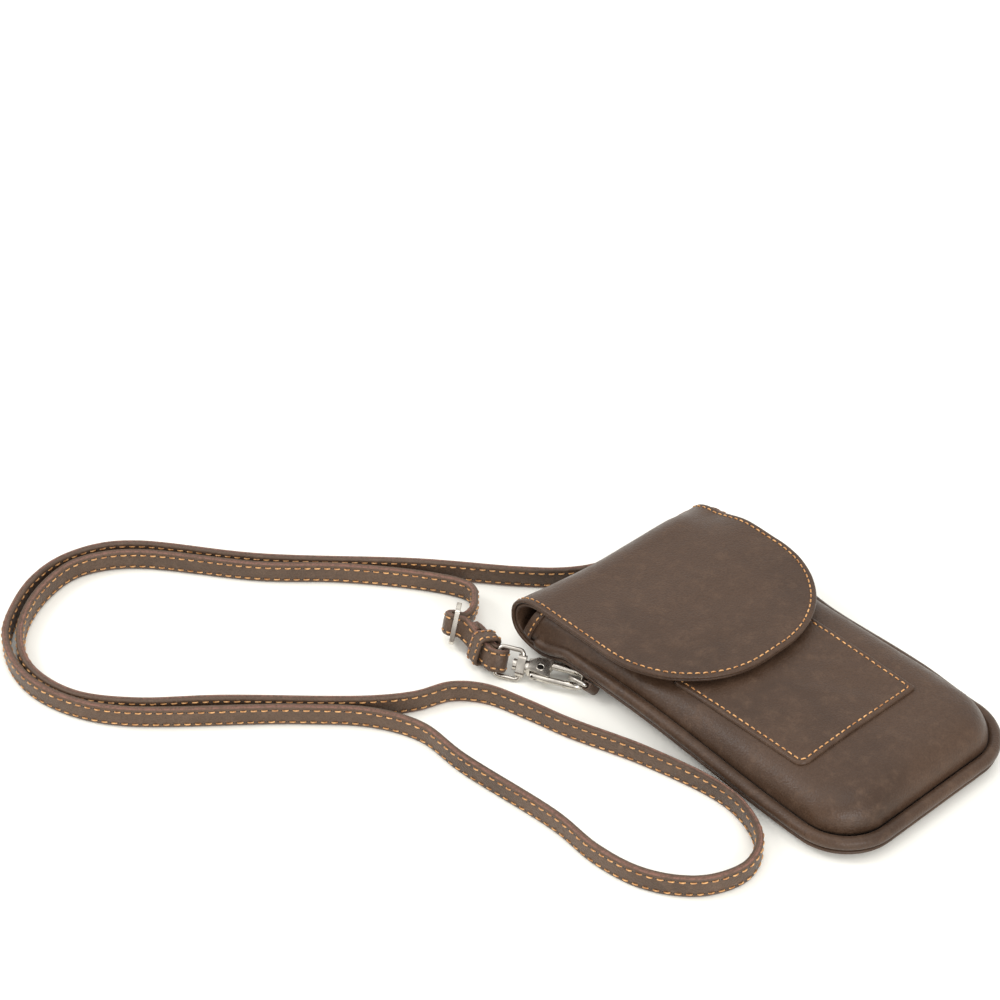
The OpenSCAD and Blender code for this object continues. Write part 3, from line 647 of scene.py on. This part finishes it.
def thread_finish(name):
    """Waxed thread: two shades of tan, with the fine twist of its plies."""
    n = Nodes(name)
    twist = n.threads(900.0, "DIAGONAL", 1.5)
    tint = n.noise(500.0, 2.0, 0.6)
    colour = n.mix(n.remap(tint, 0.35, 0.65, 0.0, 1.0), (0.36, 0.15, 0.04, 1),
                   (0.78, 0.43, 0.17, 1))
    colour = n.mix(n.math("MULTIPLY", twist, 0.35), colour, (0.25, 0.09, 0.03, 1))
    return n.finish(Base_Color=colour, Roughness=n.remap(tint, 0.3, 0.7, 0.3, 0.45),
                    Normal=n.bump(twist, 0.5, 0.0001))


def metal_finish(name, dark, light, rough):
    """Antique nickel: bright where it is rubbed, darker and duller in small clouds, with fine
    casting marks."""
    n = Nodes(name)
    tarnish = n.noise(150.0, 3.0, 0.5)
    marks = n.noise(2600.0, 3.0, 0.6)
    colour = n.mix(n.remap(tarnish, 0.38, 0.66, 0.0, 1.0), light, dark)
    return n.finish(Base_Color=colour, Metallic=1.0, Roughness=n.remap(tarnish, 0.3, 0.7, *rough),
                    Normal=n.bump(marks, 0.03, 0.00002))


def cloth_finish(name, dark, light):
    """Close woven lining: crossed threads with a little colour change."""
    n = Nodes(name)
    weave = n.math("MULTIPLY", n.threads(620.0, "X"), n.threads(620.0, "Y"))
    tint = n.noise(120.0, 4.0, 0.6)
    colour = n.mix(n.remap(tint, 0.3, 0.7, 0.0, 1.0), dark, light)
    colour = n.mix(n.math("MULTIPLY", weave, 0.4), colour, dark)
    return n.finish(Base_Color=colour, Roughness=n.remap(tint, 0.3, 0.7, 0.75, 0.95),
                    Normal=n.bump(weave, 0.5, 0.0002), Sheen_Weight=0.2)


LEATHER = leather("brown_leather", (0.038, 0.0195, 0.0105, 1), (0.062, 0.033, 0.0185, 1),
                  (0.108, 0.063, 0.038, 1))
STRAP_LEATHER = leather("strap_leather", (0.048, 0.028, 0.017, 1), (0.092, 0.056, 0.036, 1),
                        (0.155, 0.1, 0.068, 1), edge=(0.21, 0.104, 0.075, 1), grain=0.9)
LINING = cloth_finish("brown_lining", (0.022, 0.015, 0.011, 1), (0.045, 0.031, 0.023, 1))
THREAD = thread_finish("tan_thread")
# Painted shade: near-black discs for the shadowed needle holes at the stitch ends.
HOLE_SHADE = cloth_finish("painted_hole_shade", (0.008, 0.004, 0.002, 1), (0.022, 0.011, 0.006, 1))
NICKEL = metal_finish("antique_nickel", (0.40, 0.37, 0.33, 1), (0.64, 0.60, 0.54, 1), (0.22, 0.34))
STEEL = metal_finish("dark_steel", (0.2, 0.19, 0.18, 1), (0.45, 0.43, 0.41, 1), (0.3, 0.5))
# Painted shade: near-black for the shadowed hollow in the gate pins' sunk centres and in the punch
# mark's dent.
HOLLOW_SHADE = metal_finish("painted_hollow_shade", (0.012, 0.011, 0.010, 1), (0.03, 0.027, 0.024, 1),
                         (0.35, 0.5))


def make_camera():
    """A long lens from in front and to the left of the fold, at the photograph's angle."""
    rise, turn = math.radians(VIEW_RISE), math.radians(VIEW_TURN)
    back = Vector((math.sin(turn) * math.cos(rise), -math.cos(turn) * math.cos(rise),
                   math.sin(rise)))
    data = bpy.data.cameras.new("camera")
    data.sensor_width, data.lens = 36.0, VIEW_LENS
    data.clip_start, data.clip_end = 0.05, 20.0
    camera = new_object("camera", data)
    camera.location = Vector(VIEW_TARGET) + back * VIEW_AWAY
    camera.rotation_mode = "QUATERNION"
    camera.rotation_quaternion = (-back).to_track_quat("-Z", "Y")
    bpy.context.scene.camera = camera


def strap_section():
    """The strap's cross section, from the middle of its top edge: two layers with rounded corners
    and a shallow line between them on both edges. First number across, second through."""
    w, t = STRAP_W / 2, STRAP_T / 2
    side = [(w - 0.00022, 0.0), (w - 0.00005, t * 0.22), (w, t * 0.5), (w - 0.0002, t * 0.84),
            (w - 0.0007, t), (w - 0.0012, t), (w - 0.00165, t - 0.00012), (w - 0.0021, t),
            (w - 0.003, t + 0.00006), (0.0, t + 0.0001)]
    right = np.array(side)
    upper = np.concatenate([right, right[-2::-1] * [-1, 1]])
    lower = upper[-2:0:-1] * [1, -1]
    return np.concatenate([upper, lower])


def make_strap(carried):
    """The strap follows its route on one smooth line, standing on its edge, with two rows of
    stitches on each face."""
    stations = np.array([[*point, *lean] for lean, points in ROUTE for point in points], float)
    line = smooth_path(stations, STRAP_STEP)
    centre, across = line[:, :3], unit(line[:, 3:])
    patches = ribbon(centre, across, strap_section())
    strap = new_piece("shoulder_strap", patches, STRAP_LEATHER, "pouch")
    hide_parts("strap")
    _, wide, thin = path_frame(centre, across)
    sewn = slice(6, -6)
    for face in (-1, 1):
        for row in (-1, 1):
            path = centre + wide * row * STRAP_ROW + thin * face * (STRAP_T / 2 - ROW_SUNK)
            stitches("strap_stitches_%d_%d" % (face + 1, row + 1), path[sewn],
                     (thin * face)[sewn], STRAP_PITCH, share=0.7, body="pouch", slant=0.05)
    exit_at = tuple(centre[0])


def flap_top(x, y):
    """Height of the flap's face: the fold's height, less an even slope to the edge, less a dip
    that is a parabola across and grows to the fold, less a droop at the far end of the fold."""
    across = x / FLAP_HALF
    slope = FLAP_DROP * (FOLD_Y - y) / FLAP_LENGTH
    droop = DROOP * ramp(across, DROOP_ACROSS) * ramp(y, DROOP_ALONG)
    dip = DIP * ramp(y, DIP_ALONG) * (1 - across ** 2)
    return 2 * FOLD_R - slope - droop - dip + uneven(x, y, FLAP_UNEVEN)


def flap_surface(x, q):
    """The outer face of the one sheet that runs from the back, round the fold and over the front.
    -q counts along it. Round the fold it is half a superellipse from the low edge to the flap's
    height: its near end reaches out further and is squarer below, and its low edges lift, more on
    the far side."""
    s = -q
    across = x / FLAP_HALF
    near, far = ramp(-across, FOLD_BULGES), ease(across)
    t = np.clip((FLAP_HALF - np.abs(x)) / BELLY_W, 0, 1)
    low = np.where(x > 0, FOLD_LIFT_FAR, FOLD_LIFT_NEAR) * (1 - t ** 2) ** 2
    reach = (FOLD_R + FOLD_BULGE * near - FOLD_PULL_FAR * far
             - FOLD_PULL_MIDDLE * (1 - near) * (1 - far))
    top = flap_top(x, np.full_like(x, FOLD_Y))
    turn = np.clip(s / FOLD_LENGTH, 0, 1) * math.pi - math.pi / 2
    power = 2 / (FOLD_OVAL + FOLD_OVAL_NEAR * near * (turn < 0))
    y_fold = FOLD_Y + reach * np.abs(np.cos(turn)) ** power
    z_fold = (low + top) / 2 + (top - low) / 2 * np.sign(turn) * np.abs(np.sin(turn)) ** power
    y_flap = FOLD_Y - (s - FOLD_LENGTH)
    on_fold = s < FOLD_LENGTH
    y = np.where(on_fold, y_fold, y_flap)
    z = np.where(on_fold, z_fold, flap_top(x, y_flap))
    y = np.where(s < 0, FOLD_Y + s, y)
    z = np.where(s < 0, low, z)
    return np.stack([x, y, z], -1)


def sunk(at, depth):
    """The surface at a depth under another."""
    def under(x, q):
        """Points of the other surface less their normals times the depth."""
        points, normals = surface_frame(np.stack([x, q], -1), at)
        return points - normals * depth
    return under


def make_flap():
    """The flap and the fold, one sheet of leather, with their lining and the row of stitches round
    the flap.
    """
    foot = -(FOLD_LENGTH + FLAP_LENGTH)
    counts = (70, 34, 12)
    outline = (-FLAP_HALF, FLAP_HALF, foot, FLAP_R, FLAP_R, 0.0)
    levels = edge_levels(LEATHER_T, FLAP_INNER, groove=FLAP_ROW, bead=FLAP_BEAD)
    outer = new_piece("flap_leather", u_sheet(outline, levels, sheet_on(flap_surface), counts),
                      LEATHER)
    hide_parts("flap_outer", "flap_fold")
    half, corner = FLAP_HALF - FLAP_LINING_INSET, FLAP_R - FLAP_LINING_INSET
    inner_outline = (-half, half, foot + FLAP_LINING_INSET, corner, corner, 0.0)
    lining_face = sunk(flap_surface, LEATHER_T + FLAP_LINING_GAP)
    lining = new_piece("flap_back_leather",
                       u_sheet(inner_outline, edge_levels(FLAP_LINING_T, FLAP_LINING_INNER),
                               sheet_on(lining_face), counts), LEATHER)
    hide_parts("flap_lining", "fold_lining", "flap_magnet")
    half, corner = FLAP_HALF - FLAP_ROW, FLAP_R - FLAP_ROW
    row = u_line(-half, half, foot + FLAP_ROW, corner, corner, -FOLD_LENGTH * 0.35, (120, 60, 30))
    path, normals = surface_frame(row, flap_surface)
    thread = stitches("flap_stitches", path - normals * FLAP_ROW_SUNK, normals, FLAP_PITCH,
                      share=0.76)
    for piece in (outer, lining, thread):
        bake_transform(piece)


def inset_from(x, y):
    """How far points lie inside the pouch's outline: from its nearest side, or in a corner's
    square from the corner's arc."""
    dx, dy = HALF_W - np.abs(x), y - FOOT_Y
    cut = CORNER_R - np.hypot(CORNER_R - dx, CORNER_R - dy)
    return np.where((dx < CORNER_R) & (dy < CORNER_R), cut, np.minimum(dx, dy))


def back_surface(x, y):
    """The underside: flat in the middle, and lifted to the seam over its outer band by
    (1 - t squared) squared, with t from 0 at the edge to 1 inside."""
    t = np.clip((inset_from(x, y) - BACK_EDGE) / BELLY_W, 0, 1)
    lift = (1 - t ** 2) ** 2
    return np.stack([x, y, lift * (BACK_EDGE_Z + seam_rise(x, y))], -1)


def front_soft(x, y):
    """The padded front's puff, highest in its middle, and its slight unevenness."""
    puff = PUFF * np.clip(1 - (x / PUFF_HALF) ** 2, 0, 1) * ramp(y, PUFFS)
    return puff + uneven(x, y, FRONT_UNEVEN)


def crown_share(turn):
    """How far up the front's rounded edge is at a turn from the groove: the root of 1 less the
    cosine's fourth power. It is steep at its foot and runs into the top without a ridge."""
    return math.sqrt(1 - math.cos(turn) ** 4)


def crown(skin, steps):
    """Levels of the front's rounded edge, from the groove to the top. The height is (z, share of
    the seam's rise)."""
    top, run = FRONT_Z - skin, CROWN_W - skin
    out = []
    for a in np.radians(np.linspace(0, 90, steps)):
        up = crown_share(a)
        out.append((GROOVE + CROWN_W - run * math.cos(a),
                    (CROWN_FOOT * (1 - up) + top * up, 1 - up)))
    return out + [(GROOVE + CROWN_W + 0.003, (top, 0.0))]


def front_height(x, y):
    """Height of the front's outer face where the pocket lies on it."""
    inset = np.minimum(HALF_W - np.abs(x), y - FOOT_Y)
    u = np.clip((inset - GROOVE) / CROWN_W, 0, 1)
    up = np.sqrt(1 - (1 - u) ** 4)
    foot = CROWN_FOOT + seam_rise(x, y)
    return foot + (FRONT_Z + front_soft(x, y) - foot) * up


def front_place(flat, height):
    """Puts a level of the front in space. The mouth slants out towards its foot, and the near side
    stands steeper the nearer it is to the mouth."""
    z, share = height
    x, y = flat[..., 0], flat[..., 1]
    slant = MOUTH_SLANT * share * ramp(y, MOUTH_SLANTS)
    middle = math.sin(math.pi * min(share * 1.25, 1.0)) ** 2
    bulge = (SIDE_WAVE * waves(x * 0.2, y, SIDE_WAVE_L, SIDE_WAVE_SEED) * middle
             * ramp(np.abs(x), SIDE_WAVES))
    squeeze = (np.where(x > 0, SQUEEZE_FAR, SQUEEZE_NEAR * ramp(y, SQUEEZE_ALONG))
               * ramp(np.abs(x), SQUEEZE_ACROSS))
    x = np.sign(x) * (HALF_W - (HALF_W - np.abs(x)) * (1 - squeeze) - bulge)
    z = z + share * seam_rise(x, y) + (1 - share) * front_soft(x, y)
    return np.stack([x, y + slant, z], -1)


def make_back(counts):
    """The back: a sheet with a half-round edge, and the lining on its inside."""
    half, corner = HALF_W - BACK_EDGE, CORNER_R - BACK_EDGE
    outline = (-half, half, FOOT_Y + BACK_EDGE, corner, corner, FOLD_Y)
    dense = [(i, 0.0) for i in np.linspace(BACK_INNER, BACK_OUTER, 12)]
    r = LEATHER_T / 2
    arc = [(r * (1 - math.cos(a)), r * (1 - math.sin(a))) for a in np.radians([90, 60, 30, 0])]
    arc += [(i, LEATHER_T - h) for i, h in arc[::-1]]
    levels = dense + arc + [(i, LEATHER_T) for i, _ in dense[::-1]]
    back = new_piece("back_leather", u_sheet(outline, levels, sheet_on(back_surface, 1), counts),
                     LEATHER, "pouch")
    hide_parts("back_panel")
    levels = [(0.018, 0.0), (0.012, 0.0), (0.006, 0.0002),
              (0.006, 0.001), (0.012, LINING_T), (0.018, LINING_T)]
    inside = sheet_on(back_surface, 1, LEATHER_T + SKIN_GAP)
    back_inner = new_piece("back_cloth", u_sheet(outline, levels, inside, counts), LINING,
                           "pouch")
    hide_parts("back_lining")


def front_shell(name, skins, steps, counts, material):
    """A shell between two depths under the front's outer face."""
    outline = (-HALF_W, HALF_W, FOOT_Y, CORNER_R, CORNER_R, MOUTH_Y)
    outer, inner = crown(skins[0], steps), crown(skins[1], steps)
    patches = u_sheet(outline, outer[::-1] + inner, front_place, counts, CORNER_TIGHTEN)
    return new_piece(name, patches, material, "pouch")


def make_pouch():
    """The body: a back, a padded front, the rolled seam between them and the lining inside."""
    counts = (72, 22, 26)
    make_back(counts)
    front = front_shell("front_leather", (0.0, LEATHER_T), 20, counts, LEATHER)
    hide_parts("front_panel")
    front_inner = front_shell("front_cloth", (LEATHER_T + SKIN_GAP, LEATHER_T + LINING_T), 8,
                              counts, LINING)
    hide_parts("front_lining")

    half, corner = HALF_W - ROLL_R, CORNER_R - ROLL_R
    path = u_line(-half, half, FOOT_Y + ROLL_R, corner, corner, FOLD_Y + ROLL_PAST_FOLD,
                  (110, 40, 40))
    centre = np.stack([path[:, 0], path[:, 1], SEAM_Z + seam_rise(path[:, 0], path[:, 1])], -1)
    turn = np.linspace(0, 2 * math.pi, 20, endpoint=False)
    section = ROLL_R * np.stack([np.cos(turn), np.sin(turn)], -1)
    roll = new_piece("seam_roll", ribbon(centre, UPRIGHT, section), LEATHER, "pouch")
    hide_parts("side_roll")


def pocket_place(flat, height):
    """Puts a level of the pocket on the front. Its sides widen evenly towards its mouth."""
    x, y = flat[..., 0], flat[..., 1]
    middle = (POCKET_LEFT + POCKET_RIGHT) / 2
    x = x + (x - middle) * POCKET_TAPER / POCKET_HALF * (y - POCKET_FOOT) / POCKET_L
    z = front_height(x, y) + POCKET_T - height
    return np.stack([x, y, z + uneven(x, y, (POCKET_UNEVEN,))], -1)


def make_pocket():
    """A patch with a turned edge, sewn down on three sides."""
    outline = (POCKET_LEFT, POCKET_RIGHT, POCKET_FOOT, 0.0045, 0.0016, POCKET_TOP)
    face = [(0.014, 0.0), (0.008, 0.0), (0.0045, 0.0), (0.0032, 0.00002), (0.0026, 0.00006),
            (POCKET_ROW, 0.00026), (0.0016, 0.00006), (0.0011, -0.00006), (0.0006, 0.0)]
    edge = [(0.00025, 0.0002), (0.00006, 0.00055), (0.0, 0.0009), (0.0, POCKET_T + 0.0002)]
    under = [(i, POCKET_T + 0.0003) for i in (0.0006, 0.0012, 0.002, 0.003, 0.004, 0.0045, 0.005,
                                              0.006, 0.007, 0.008, 0.014)]
    pocket = new_piece("front_pocket", u_sheet(outline, face + edge + under, pocket_place,
                                               (44, 10, 44)), LEATHER, "pouch")
    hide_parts("card_pocket")
    row = u_line(POCKET_LEFT + POCKET_ROW, POCKET_RIGHT - POCKET_ROW, POCKET_FOOT + POCKET_ROW,
                 0.0026, 0.0008, POCKET_TOP, (80, 8, 60))
    stitches("pocket_stitches", pocket_place(row, POCKET_ROW_SUNK), UPRIGHT, FLAP_PITCH,
             share=0.76, body="pouch")


def loft_hoop(loop, outward, along, section):
    """A closed band: a section carried round a closed loop, its first number along the band's
    width and its second outwards."""
    ring = closed(section)
    return [with_uv(loop[:, None] + outward[:, None] * ring[:, 1:] + along * ring[:, :1])]


def soft_box(width, height, corner, steps):
    """A rectangle with quarter-circle corners, and its outward normals."""
    points, normals = [], []
    for k, (sx, sy) in enumerate([(1, 1), (-1, 1), (-1, -1), (1, -1)]):
        turn = np.radians(np.linspace(0, 90, steps) + 90 * k)
        out = np.stack([np.cos(turn), np.sin(turn)], -1)
        middle = np.array([sx * (width / 2 - corner), sy * (height / 2 - corner)])
        points.append(middle + out * corner)
        normals.append(out)
    return np.concatenate(points), np.concatenate(normals)


def turned(points, degrees):
    """Points turned about X, then Y, then Z."""
    (cx, cy, cz), (sx, sy, sz) = np.cos(np.radians(degrees)), np.sin(np.radians(degrees))
    rx = np.array([[1, 0, 0], [0, cx, -sx], [0, sx, cx]])
    ry = np.array([[cy, 0, sy], [0, 1, 0], [-sy, 0, cy]])
    rz = np.array([[cz, -sz, 0], [sz, cz, 0], [0, 0, 1]])
    return points @ (rz @ ry @ rx).T


def strip_section(width, thickness, corner):
    """A flat strip's section with rounded corners."""
    return soft_box(width, thickness, corner, 5)[0]


def make_keeper():
    """The keeper: a sewn leather band round the strap's doubled end, a row of stitches by each
    edge. It is a soft box, a little lower at its two narrow ends."""
    flat, out = soft_box(KEEPER_WIDE, KEEPER_TALL, KEEPER_CORNER, 9)
    sag = 1 - KEEPER_SAG * np.abs(flat[:, 0] / KEEPER_WIDE * 2) ** 8
    loop = np.stack([flat[:, 0], np.zeros(len(flat)), flat[:, 1] * sag], -1)
    outward = np.stack([out[:, 0], np.zeros(len(out)), out[:, 1]], -1)
    along = turned(np.array(ALONG_Y), KEEPER_TURN)
    loop = closed(turned(loop, KEEPER_TURN) + KEEPER_AT)
    outward = closed(turned(outward, KEEPER_TURN))
    section = strip_section(KEEPER_L, KEEPER_T, KEEPER_T_CORNER)
    band = new_piece("keeper_leather", loft_hoop(loop, outward, along, section), STRAP_LEATHER,
                     "keeper")
    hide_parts("strap_keeper")
    pieces = [band]
    for side in (-1, 1):
        path = loop + along * side * (KEEPER_L / 2 - KEEPER_ROW) + outward * KEEPER_T / 2
        pieces.append(stitches("keeper_stitches_%d" % (side + 1), path, outward, KEEPER_PITCH,
                               share=0.72, body="keeper"))
    return pieces


def make_mouth():
    """The bound edge of the mouth: a thin strip that follows the front over its crown, and a row
    of stitches beside it."""
    half = [(HALF_W - inset, *height) for inset, height in crown(0.0, 26)]
    across = np.linspace(half[-1][0], -half[-1][0], 40)[1:-1]
    stations = (half + [(x, FRONT_Z, 0.0) for x in across]
                + [(-x, z, share) for x, z, share in half[::-1]])

    def line(inset, lift):
        """The front's outer face at an inset from the mouth, lifted along its normals."""
        points = np.array([front_place(np.array([x, MOUTH_Y - inset]), (z, share))
                           for x, z, share in stations])
        run = unit(np.gradient(points, axis=0))
        out = np.stack([-run[:, 2], np.zeros(len(run)), run[:, 0]], -1)
        out = unit(out * np.sign(out[:, 2:] + 1e-9))
        return points + out * lift, out

    points, _ = line(*BINDING_AT)
    patches = ribbon(points, ALONG_Y, strip_section(BINDING_W, BINDING_T, BINDING_CORNER))
    binding = new_piece("mouth_leather", patches, LEATHER, "pouch")
    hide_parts("mouth_binding")
    points, out = line(*BINDING_ROW_AT)
    stitches("mouth_stitches", points[::-1], out[::-1], FLAP_PITCH, share=0.74, body="pouch")


def polished(name, material, bevel=0.00012, slim=0.0):
    """A copy of a CAD piece with its corners merged, its round faces smooth and its sharp edges
    broken by a narrow bevel, thinner by slim all round. It stands for the piece, on the same
    body."""
    sharp = math.radians(32.0)
    mesh = frame["nodes"][name].data.copy()
    mesh.name = name + "_shown"
    work = bmesh.new()
    work.from_mesh(mesh)
    bmesh.ops.remove_doubles(work, verts=work.verts, dist=MERGE)
    bmesh.ops.dissolve_limit(work, angle_limit=math.radians(1.0), verts=work.verts,
                             edges=work.edges)
    bmesh.ops.triangulate(work, faces=[f for f in work.faces if len(f.verts) > 12])
    work.normal_update()
    for moved, normal in [(v, v.normal.copy()) for v in work.verts]:
        moved.co -= normal * slim
    work.to_mesh(mesh)
    work.free()
    shade_smooth(mesh)
    mesh.set_sharp_from_angle(angle=sharp)
    mesh.materials.clear()
    mesh.materials.append(material)
    piece = add_piece(name + "_shown", mesh, body_of(name))
    soft = piece.modifiers.new("edges", "BEVEL")
    soft.width, soft.segments, soft.limit_method = bevel, 2, "ANGLE"
    soft.angle_limit, soft.harden_normals = sharp, True
    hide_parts(name)
    return piece


def revolved(profile, axis, at):
    """A round piece: a profile of (radius, height) turned about an axis through a point."""
    axis = unit(np.array(axis, float))
    side = unit(np.cross(axis, [1.0, 0.2, 0.1]))
    other = np.cross(axis, side)
    turn = np.linspace(0, 2 * math.pi, 33)
    radius, height = np.array(profile, float).T
    round_ = side * np.cos(turn)[:, None] + other * np.sin(turn)[:, None]
    return with_uv(np.array(at) + radius[:, None, None] * round_[None]
                   + height[:, None, None] * axis)


def make_rivets(side):
    """The gate pin's ends: a raised bright ring round a sunk centre that is painted near-black as
    the shade of its hollow, on both faces. The near gate also has the small punch mark on its
    outer side, a disc painted near-black as the shade in its dent."""
    joint = next(j for j in frame["record"]["behaviour"]["joints"]
                 if j["name"] == side + "gate_hinge")
    at, axis = joint["pos_m"], np.array(joint["axis"], float)
    turn = np.linspace(0, 2 * math.pi, 17)
    rim = [(RIM_R + RIM_WIRE * math.cos(a), RIM_AT + RIM_WIRE * math.sin(a)) for a in turn]
    plug = [(POLE, PIN_FOOT), (PIN_R, PIN_FOOT), (PIN_R, PIN_SHOULDER), (PIN_TOP_R, PIN_TOP),
            (POLE, PIN_TOP)]
    pieces = []
    # The centre is painted near-black as the shade of its hollow.
    for name, profile, finish in (("pin_rim", rim, NICKEL), ("pin_centre_shade", plug, HOLLOW_SHADE)):
        piece = new_piece(side + name, [revolved(profile, axis, at), revolved(profile, -axis, at)],
                          finish, body_of(side + "gate_pin"))
        pieces.append(piece)
    if side == "near_":
        mark = [(POLE, MARK_FOOT), (MARK_R, MARK_FOOT), (MARK_R, MARK_TOP), (POLE, MARK_TOP)]
        pieces.append(new_piece(side + "punch_mark_shade", [revolved(mark, MARK_FACES, MARK_AT)],
                                HOLLOW_SHADE, body_of(side + "gate")))
    return pieces


def body_of(node):
    """The body that carries a CAD node."""
    for body, names in frame["record"]["behaviour"]["bodies"].items():
        if node in names:
            return body
    return "pouch"


def make_hardware():
    """The slider, eyes, hooks, gates, rings and their tabs, with smooth round faces."""
    shown = [polished("strap_slider", NICKEL, bevel=0.0003)]
    for side in ("near_", "far_"):
        for name in ("swivel_eye", "hook", "gate"):
            shown.append(polished(side + name, NICKEL))
        shown.append(polished(side + "gate_pin", STEEL))
        shown += make_rivets(side)
        polished(side + "d_ring", NICKEL, slim=0.00004)
        polished(side + "ring_tab", LEATHER, bevel=0.0003)
    return shown


def finish_nodes():
    """The CAD nodes that show as they are, the gates' springs and a magnet, get their steel."""
    for node in frame["nodes"].values():
        if not node.hide_render:
            node.data.materials.clear()
            node.data.materials.append(STEEL)


def make_stage():
    """A wide pale floor, a bright even surround and three soft lights: low in front, behind to
    the left, and above. A light is its name, place, power, size and aim."""
    reach = 6
    mesh = bpy.data.meshes.new("floor")
    mesh.from_pydata([(-reach, -reach, 0), (reach, -reach, 0), (reach, reach, 0),
                      (-reach, reach, 0)], [], [(0, 1, 2, 3)])
    n = Nodes("white_table")
    tint = n.noise(3.0, 2.0, 0.5)
    mesh.materials.append(n.finish(Base_Color=n.mix(tint, (0.93, 0.92, 0.86, 1),
                                                    (0.95, 0.94, 0.885, 1)), Roughness=0.6))
    floor = new_object("floor", mesh)
    world = bpy.data.worlds.new("surround")
    bpy.context.scene.world = world
    world.use_nodes = True
    surround = world.node_tree.nodes["Background"]
    surround.inputs["Color"].default_value = (1.0, 0.99, 0.97, 1)
    surround.inputs["Strength"].default_value = 1.0
    for name, at, power, size, target in (
            ("softbox_front", (-0.5, -0.95, 0.5), 7.0, 0.5, (0, -0.02, 0)),
            ("softbox_left", (-0.85, 1.0, 1.2), 9.0, 0.6, (0, 0.0, 0)),
            ("softbox_top", (-0.1, 0.0, 1.6), 6.0, 1.1, (0, 0.08, 0))):
        data = bpy.data.lights.new(name, "AREA")
        data.energy, data.size = power, size
        lamp = new_object(name, data)
        lamp.location = at
        lamp.rotation_mode = "QUATERNION"
        lamp.rotation_quaternion = (Vector(target) - Vector(at)).to_track_quat("-Z", "Y")
    bpy.context.scene.view_settings.view_transform = "Standard"


make_camera()
make_strap(make_hardware() + make_keeper())
make_flap()
make_pouch()
make_mouth()
make_pocket()
finish_nodes()
make_stage()
